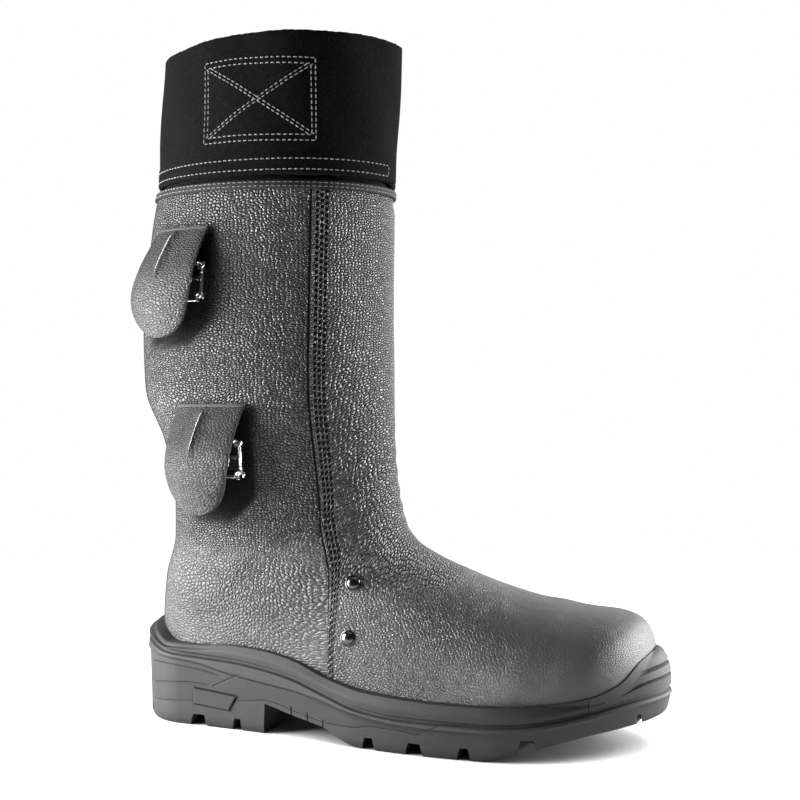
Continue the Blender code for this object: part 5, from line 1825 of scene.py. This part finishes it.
# Strip at the back of the boot: half its width at each height, and the bound edge of the quarter over it
BackStrip = namedtuple("BackStrip", "z half")
BACK_STRIP = [
    BackStrip(40, 17), BackStrip(75, 16), BackStrip(110, 17), BackStrip(150, 21), BackStrip(200, 24),
    BackStrip(250, 23), BackStrip(292, 21),
]
BACK_EDGE_RADIUS = 0.75
BACK_EDGE_SINK = 0.25
BACK_RAY_START = -200.0


def back_edge_route(side):
    """Places of the quarter's rear edge from the sole to the binding."""
    half = column(BACK_STRIP, "z", "half")
    route = []
    for z in np.linspace(BACK_STRIP[0].z, BACK_STRIP[-1].z, 90):
        place, normal = LEATHER.cast((BACK_RAY_START, side * float(half(z)), z), (1, 0, 0))
        route.append(place - BACK_EDGE_SINK * normal)
    return route


def make_back_edges(cut_edge):
    """Bound edges of both quarters over the back strip, near-black partly as their own dye and partly as
    painted shade at the back.
    """
    for side, name in ((-1, "outer"), (1, "inner")):
        points, faces = tube(back_edge_route(side), BACK_EDGE_RADIUS, False, 8)
        piece = add_piece("back_edge_" + name, points, faces, [cut_edge])
        settle(piece, "grain_leather")


# Footbed
INSOLE_THICK = 3.2
INSOLE_CLEAR = 1.8
INSOLE_MIDDLE = 120.0


def make_insole(felt):
    """Footbed on the cup floor, inside the upper's edge, with a soft rounded rim."""
    base = grid_points(LEATHER.base[:FOOT_ROWS + 1])
    numbers = LEATHER.numbers[:FOOT_ROWS + 1]
    loop = lower_edge(numbers)
    outline = base[loop]
    along = np.roll(outline, -1, axis=0) - np.roll(outline, 1, axis=0)
    inward = np.stack((along[:, 1], -along[:, 0], np.zeros(len(loop))), axis=1)
    inward /= np.linalg.norm(inward, axis=1, keepdims=True)
    middle = np.array((INSOLE_MIDDLE, 0.0, 0.0)) - outline
    inward *= np.sign((inward * middle).sum(axis=1))[:, None]
    rim = 0.9
    rings = []
    for rise, more in ((0.0, 0.0), (INSOLE_THICK - rim, 0.0), (INSOLE_THICK - 0.3 * rim, 0.3 * rim),
                       (INSOLE_THICK, rim)):
        rings.append(outline + inward * (WALL + INSOLE_CLEAR + more) + np.array((0, 0, rise)))
    count = len(loop)
    order = {number: i for i, number in enumerate(loop)}
    strips = [tuple(order[number] for number in numbers[0])]
    for i in range(FOOT_ROWS):
        low = numbers[i]
        high = numbers[i + 1]
        strip = (low[0], high[0], high[-1], low[-1]) if i + 1 < FOOT_ROWS else (low[0], high[0], low[-1])
        strips.append(tuple(order[number] for number in strip))
    top = (len(rings) - 1) * count
    faces = strips + [tuple(top + number for number in strip[::-1]) for strip in strips]
    faces += stacked_faces(ring_numbers(len(rings), count))
    piece = add_piece("felt_insole", np.concatenate(rings), faces, [felt], sharp=ROLLED_EDGE)
    settle(piece, "felt", "insole")


class BootLeatherSettings(bpy.types.PropertyGroup):
    """Finish of the leather and the suede."""
    leather_grey: FloatProperty(
        name="Leather grey", description="Base grey of the grained leather",
        default=0.050, min=0.0, max=1.0)
    leather_roughness: FloatProperty(
        name="Leather roughness", description="Roughness on the tops of the grain",
        default=0.37, min=0.0, max=1.0, subtype='FACTOR')
    leather_gloss: FloatProperty(
        name="Leather gloss", description="Strength of the leather's reflection",
        default=0.6, min=0.0, max=1.0, subtype='FACTOR')
    grain_size: FloatProperty(
        name="Grain size", description="Width of one grain cell in millimetres",
        default=1.18, min=0.5, max=10.0)
    grain_depth: FloatProperty(
        name="Grain depth", description="Depth of the grain in millimetres",
        default=0.85, min=0.0, max=3.0)
    suede_grey: FloatProperty(
        name="Suede grey", description="Base grey of the suede cuff",
        default=0.003, min=0.0, max=1.0)


class BootThreadSettings(bpy.types.PropertyGroup):
    """Size and colour of the sewing thread."""
    stitch_pitch: FloatProperty(
        name="Stitch pitch", description="Length of one stitch step in millimetres",
        default=3.1, min=1.0, max=10.0)
    stitch_width: FloatProperty(
        name="Stitch width", description="Thickness of the thread in millimetres",
        default=0.66, min=0.2, max=3.0)
    thread_grey: FloatProperty(
        name="Thread grey", description="Base grey of the pale thread",
        default=0.17, min=0.0, max=1.0)


class BootSoleSettings(bpy.types.PropertyGroup):
    """Finish of the sole and the metal."""
    sole_grey: FloatProperty(
        name="Sole grey", description="Base grey of the cup of the sole",
        default=0.015, min=0.0, max=1.0)
    tread_grey: FloatProperty(
        name="Tread grey", description="Base grey of the tread",
        default=0.019, min=0.0, max=1.0)
    steel_grey: FloatProperty(
        name="Steel grey", description="Base grey of the buckle steel",
        default=0.82, min=0.0, max=1.0)
    rivet_grey: FloatProperty(
        name="Rivet grey", description="Base grey of the dark rivets",
        default=0.09, min=0.0, max=1.0)


class BootStageSettings(bpy.types.PropertyGroup):
    """Floor, lights and camera."""
    floor_color: FloatVectorProperty(
        name="Floor colour", description="Colour of the pale floor",
        default=(0.93, 0.93, 0.93), subtype='COLOR', min=0.0, max=1.0)
    key_power: FloatProperty(
        name="Key power", description="Power of the light at the heel side in watts",
        default=16.0, min=0.0, max=500.0, unit='POWER')
    rim_power: FloatProperty(
        name="Rim power", description="Power of the light at the toe side in watts",
        default=38.0, min=0.0, max=500.0, unit='POWER')
    back_power: FloatProperty(
        name="Back power", description="Power of the wide light behind the boot in watts",
        default=9.0, min=0.0, max=500.0, unit='POWER')
    top_power: FloatProperty(
        name="Top power", description="Power of the soft light overhead in watts",
        default=4.0, min=0.0, max=500.0, unit='POWER')
    sky_strength: FloatProperty(
        name="Sky strength", description="Strength of the light from all round",
        default=0.066, min=0.0, max=5.0)
    camera_lens: FloatProperty(
        name="Camera lens", description="Focal length of the camera in millimetres",
        default=59.85, min=10.0, max=300.0)


# Greys of the small finishes, roughness of the metals and the finer thread of the binding
CUT_EDGE_GREY = 0.05
# Near-black bound edges at the back: their own dark dye and painted shade of the back
BOUND_EDGE_GREY = 0.004
LINING_GREY = 0.045
INSOLE_GREY = 0.09
BINDING_GREY = 0.005
# Near-black strap tips stand for painted shade under the covers
STRAP_GREY = 0.010
BUCKLE_ROUGHNESS = 0.07
RIVET_ROUGHNESS = 0.20
BINDING_THREAD = 0.7


def add_material(key, maker, *values):
    """Material of one name, made once."""
    return bpy.data.materials.get(key) or maker(key, *values)


class BOOT_OT_upper(bpy.types.Operator):
    """Dress the upper in grained leather with its lining and back edges"""
    bl_idname = "boot.upper"
    bl_label = "Leather upper"

    def execute(self, context):
        leather = add_material("upper_leather", leather_material, context.scene.boot_leather, True)
        lining = add_material("lining_felt", felt_material, LINING_GREY)
        make_upper(leather, lining)
        make_back_edges(add_material("bound_edge", edge_material, BOUND_EDGE_GREY))
        return {'FINISHED'}


class BOOT_OT_insole(bpy.types.Operator):
    """Lay the felt footbed inside the boot"""
    bl_idname = "boot.insole"
    bl_label = "Insole"

    def execute(self, context):
        make_insole(add_material("insole_felt", felt_material, INSOLE_GREY))
        return {'FINISHED'}


class BOOT_OT_sole(bpy.types.Operator):
    """Mould the cup and the tread of the sole"""
    bl_idname = "boot.sole"
    bl_label = "Sole"

    def execute(self, context):
        settings = context.scene.boot_sole
        cup = add_material("cup_rubber", rubber_material, settings.sole_grey)
        tread = add_material("lug_rubber", rubber_material, settings.tread_grey)
        make_sole(cup, tread)
        make_heel_plate("lateral", -1, cup)
        make_heel_plate("medial", 1, cup)
        return {'FINISHED'}


class BOOT_OT_cuff(bpy.types.Operator):
    """Wrap the suede cuff round the collar and sew it"""
    bl_idname = "boot.cuff"
    bl_label = "Suede cuff"

    def execute(self, context):
        settings = context.scene.boot_thread
        make_cuff(add_material("cuff_suede", suede_material, context.scene.boot_leather))
        thread = add_material("pale_thread", thread_material, settings.thread_grey)
        stitched_rows("cuff_stitches", cuff_stitch_rows(), settings, thread, "suede")
        return {'FINISHED'}


class BOOT_OT_binding(bpy.types.Operator):
    """Sew the leather binding below the cuff"""
    bl_idname = "boot.binding"
    bl_label = "Top binding"

    def execute(self, context):
        settings = context.scene.boot_thread
        make_binding(add_material("binding_leather", edge_material, BINDING_GREY))
        thread = add_material("pale_thread", thread_material, settings.thread_grey)
        rows = binding_stitch_rows()
        stitched_rows("binding_stitches", rows, settings, thread, "grain_leather", BINDING_THREAD)
        return {'FINISHED'}


class BOOT_OT_covers(bpy.types.Operator):
    """Hang the leather covers over the buckles"""
    bl_idname = "boot.covers"
    bl_label = "Buckle covers"

    def execute(self, context):
        leather = add_material("cover_leather", leather_material, context.scene.boot_leather)
        cut_edge = add_material("cut_edge", edge_material, CUT_EDGE_GREY)
        for cover in COVERS:
            make_cover(cover, leather, cut_edge)
        return {'FINISHED'}


class BOOT_OT_buckles(bpy.types.Operator):
    """Bend the wire buckles and lay their strap tips"""
    bl_idname = "boot.buckles"
    bl_label = "Buckles"

    def execute(self, context):
        grey = context.scene.boot_sole.steel_grey
        steel = add_material("buckle_steel", steel_material, grey, BUCKLE_ROUGHNESS)
        # The strap tips take a near-black finish as painted shade under the covers
        strap = add_material("strap_leather", edge_material, STRAP_GREY)
        for buckle in BUCKLES:
            make_buckle(buckle, steel, strap)
        return {'FINISHED'}


class BOOT_OT_rivets(bpy.types.Operator):
    """Set the dome rivets at the foot of the lap"""
    bl_idname = "boot.rivets"
    bl_label = "Rivets"

    def execute(self, context):
        grey = context.scene.boot_sole.rivet_grey
        steel = add_material("rivet_steel", steel_material, grey, RIVET_ROUGHNESS)
        for rivet in RIVETS:
            for side in (-1, 1):
                make_rivet(rivet, side, steel)
        return {'FINISHED'}


# Camera of the photograph's view: place in the boot's own sizes, turn round Z and the rise of the horizon
CAMERA_PLACE = (400.2, -692.5, 190.0)
CAMERA_TURN = 20.0
CAMERA_SHIFT_Y = -0.0225
# Middle of the floor along the boot, and the distances over which the floor fades out
FLOOR_MIDDLE = 145.0
FLOOR_FADE = (330.0, 800.0)
FLOOR_SHADE_REACH = 0.09
FLOOR_GLOW = 0.45
# Studio lights in metres of the shared frame, each with the setting that holds its power
StudioLight = namedtuple("StudioLight", "name place target size power")
BOOT_MIDDLE = (-0.07, 0.0, 0.2)
LIGHTS = [
    StudioLight("heel_side_light", (-0.50, -0.28, 0.20), (-0.09, -0.03, 0.15), (0.3, 0.45), "key_power"),
    StudioLight("toe_side_light", (0.85, 0.55, 0.32), BOOT_MIDDLE, (0.50, 0.7), "rim_power"),
    StudioLight("back_light", (-0.10, 1.25, 0.60), BOOT_MIDDLE, (1.6, 1.0), "back_power"),
    StudioLight("overhead_light", (0.0, 0.05, 1.25), (0.0, 0.0, 0.0), (1.1, 1.1), "top_power"),
]


def add_light(studio, power):
    """Soft rectangular light that faces its target."""
    data = bpy.data.lights.new(studio.name, 'AREA')
    data.shape = 'RECTANGLE'
    data.size, data.size_y = studio.size
    data.energy = power
    light = bpy.data.objects.new(studio.name, data)
    light.location = studio.place
    light.visible_camera = False
    facing = Vector(studio.target) - Vector(studio.place)
    light.rotation_euler = facing.to_track_quat('-Z', 'Y').to_euler()
    bpy.context.scene.collection.objects.link(light)


def add_camera(lens):
    """Level camera at the photograph's viewing angle."""
    data = bpy.data.cameras.new("photo_camera")
    data.lens = lens
    data.sensor_width = 36.0
    data.shift_y = CAMERA_SHIFT_Y
    data.clip_end = 50.0
    camera = bpy.data.objects.new("photo_camera", data)
    camera.location = (np.array(CAMERA_PLACE) + SHIFT) * MM
    camera.rotation_euler = (math.radians(90), 0.0, math.radians(CAMERA_TURN))
    bpy.context.scene.collection.objects.link(camera)
    bpy.context.scene.camera = camera


def add_sky(strength):
    """Plain white surround, softer as a light than it is as a backdrop."""
    world = bpy.data.worlds.new("studio")
    bpy.context.scene.world = world
    world.use_nodes = True
    nodes = world.node_tree.nodes
    links = world.node_tree.links
    nodes.clear()
    seen = nodes.new("ShaderNodeBackground")
    seen.inputs["Color"].default_value = (1.0, 1.0, 1.0, 1.0)
    lit = nodes.new("ShaderNodeBackground")
    lit.inputs["Color"].default_value = (1.0, 1.0, 1.0, 1.0)
    lit.inputs["Strength"].default_value = strength
    path = nodes.new("ShaderNodeLightPath")
    blend = nodes.new("ShaderNodeMixShader")
    output = nodes.new("ShaderNodeOutputWorld")
    links.new(path.outputs["Is Camera Ray"], blend.inputs[0])
    links.new(lit.outputs[0], blend.inputs[1])
    links.new(seen.outputs[0], blend.inputs[2])
    links.new(blend.outputs[0], output.inputs[0])


def add_floor(color):
    """Plain pale floor that fades into the backdrop round the boot."""
    look = Look("pale_floor")
    place = look.place()
    x, y, _ = look.split(place)
    cloud = look.noise(place, 400.0, 2.0, 0.5)
    seen = look.node("ShaderNodeLightPath")["Is Camera Ray"]
    # Ambient occlusion darkens the floor's colour and glow round the boot: a painted contact shadow
    shade = look.node("ShaderNodeAmbientOcclusion", {"samples": 8}, {"Distance": FLOOR_SHADE_REACH})
    open_sky = shade["AO"].ease(0.1, 0.75)
    tint = look.vector('SCALE', tuple(color), Scale=(0.985 + 0.03 * cloud) * (0.3 + 0.7 * open_sky))
    away = ((x - FLOOR_MIDDLE) ** 2.0 + y ** 2.0) ** 0.5
    look.set(Base_Color=tint, Roughness=0.9, Specular_IOR_Level=0.1, Alpha=1 - away.ease(*FLOOR_FADE),
             Emission_Color=look.grey(FLOOR_GLOW * seen * open_sky), Emission_Strength=1.0)
    reach = 1.2 * FLOOR_FADE[1]
    corners = [(-reach, -reach, 0), (reach, -reach, 0), (reach, reach, 0), (-reach, reach, 0)]
    floor = add_piece("studio_floor", corners, [(0, 1, 2, 3)], [look.material], closed=False)


class BOOT_OT_stage(bpy.types.Operator):
    """Set the floor, the studio lights and the camera"""
    bl_idname = "boot.stage"
    bl_label = "Stage"

    def execute(self, context):
        settings = context.scene.boot_stage
        add_floor(settings.floor_color)
        add_sky(settings.sky_strength)
        for light in LIGHTS:
            add_light(light, getattr(settings, light.power))
        add_camera(settings.camera_lens)
        context.scene.view_settings.view_transform = 'Standard'
        return {'FINISHED'}


OPERATORS = (BOOT_OT_upper, BOOT_OT_insole, BOOT_OT_sole, BOOT_OT_cuff, BOOT_OT_binding, BOOT_OT_covers,
             BOOT_OT_buckles, BOOT_OT_rivets, BOOT_OT_stage)


class BOOT_PT_looks(bpy.types.Panel):
    """Pieces of the boot, in the order they are dressed"""
    bl_label = "Foundry boot"
    bl_idname = "BOOT_PT_looks"
    bl_space_type = 'VIEW_3D'
    bl_region_type = 'UI'
    bl_category = "Foundry boot"

    def draw(self, context):
        for operator in OPERATORS:
            self.layout.operator(operator.bl_idname)


SETTINGS = {"boot_leather": BootLeatherSettings, "boot_thread": BootThreadSettings,
            "boot_sole": BootSoleSettings, "boot_stage": BootStageSettings}


def register():
    """Add the settings, the operators and the panel."""
    for group in SETTINGS.values():
        bpy.utils.register_class(group)
    for name, group in SETTINGS.items():
        setattr(bpy.types.Scene, name, PointerProperty(type=group))
    for operator in OPERATORS:
        bpy.utils.register_class(operator)
    bpy.utils.register_class(BOOT_PT_looks)


def unregister():
    """Take them out again."""
    bpy.utils.unregister_class(BOOT_PT_looks)
    for operator in reversed(OPERATORS):
        bpy.utils.unregister_class(operator)
    for name in SETTINGS:
        delattr(bpy.types.Scene, name)
    for group in SETTINGS.values():
        bpy.utils.unregister_class(group)


def main():
    """Dress the boot piece by piece."""
    register()
    for operator in OPERATORS:
        name = operator.bl_idname.split(".")[1]
        getattr(bpy.ops.boot, name)()


if __name__ == "__main__":
    main()
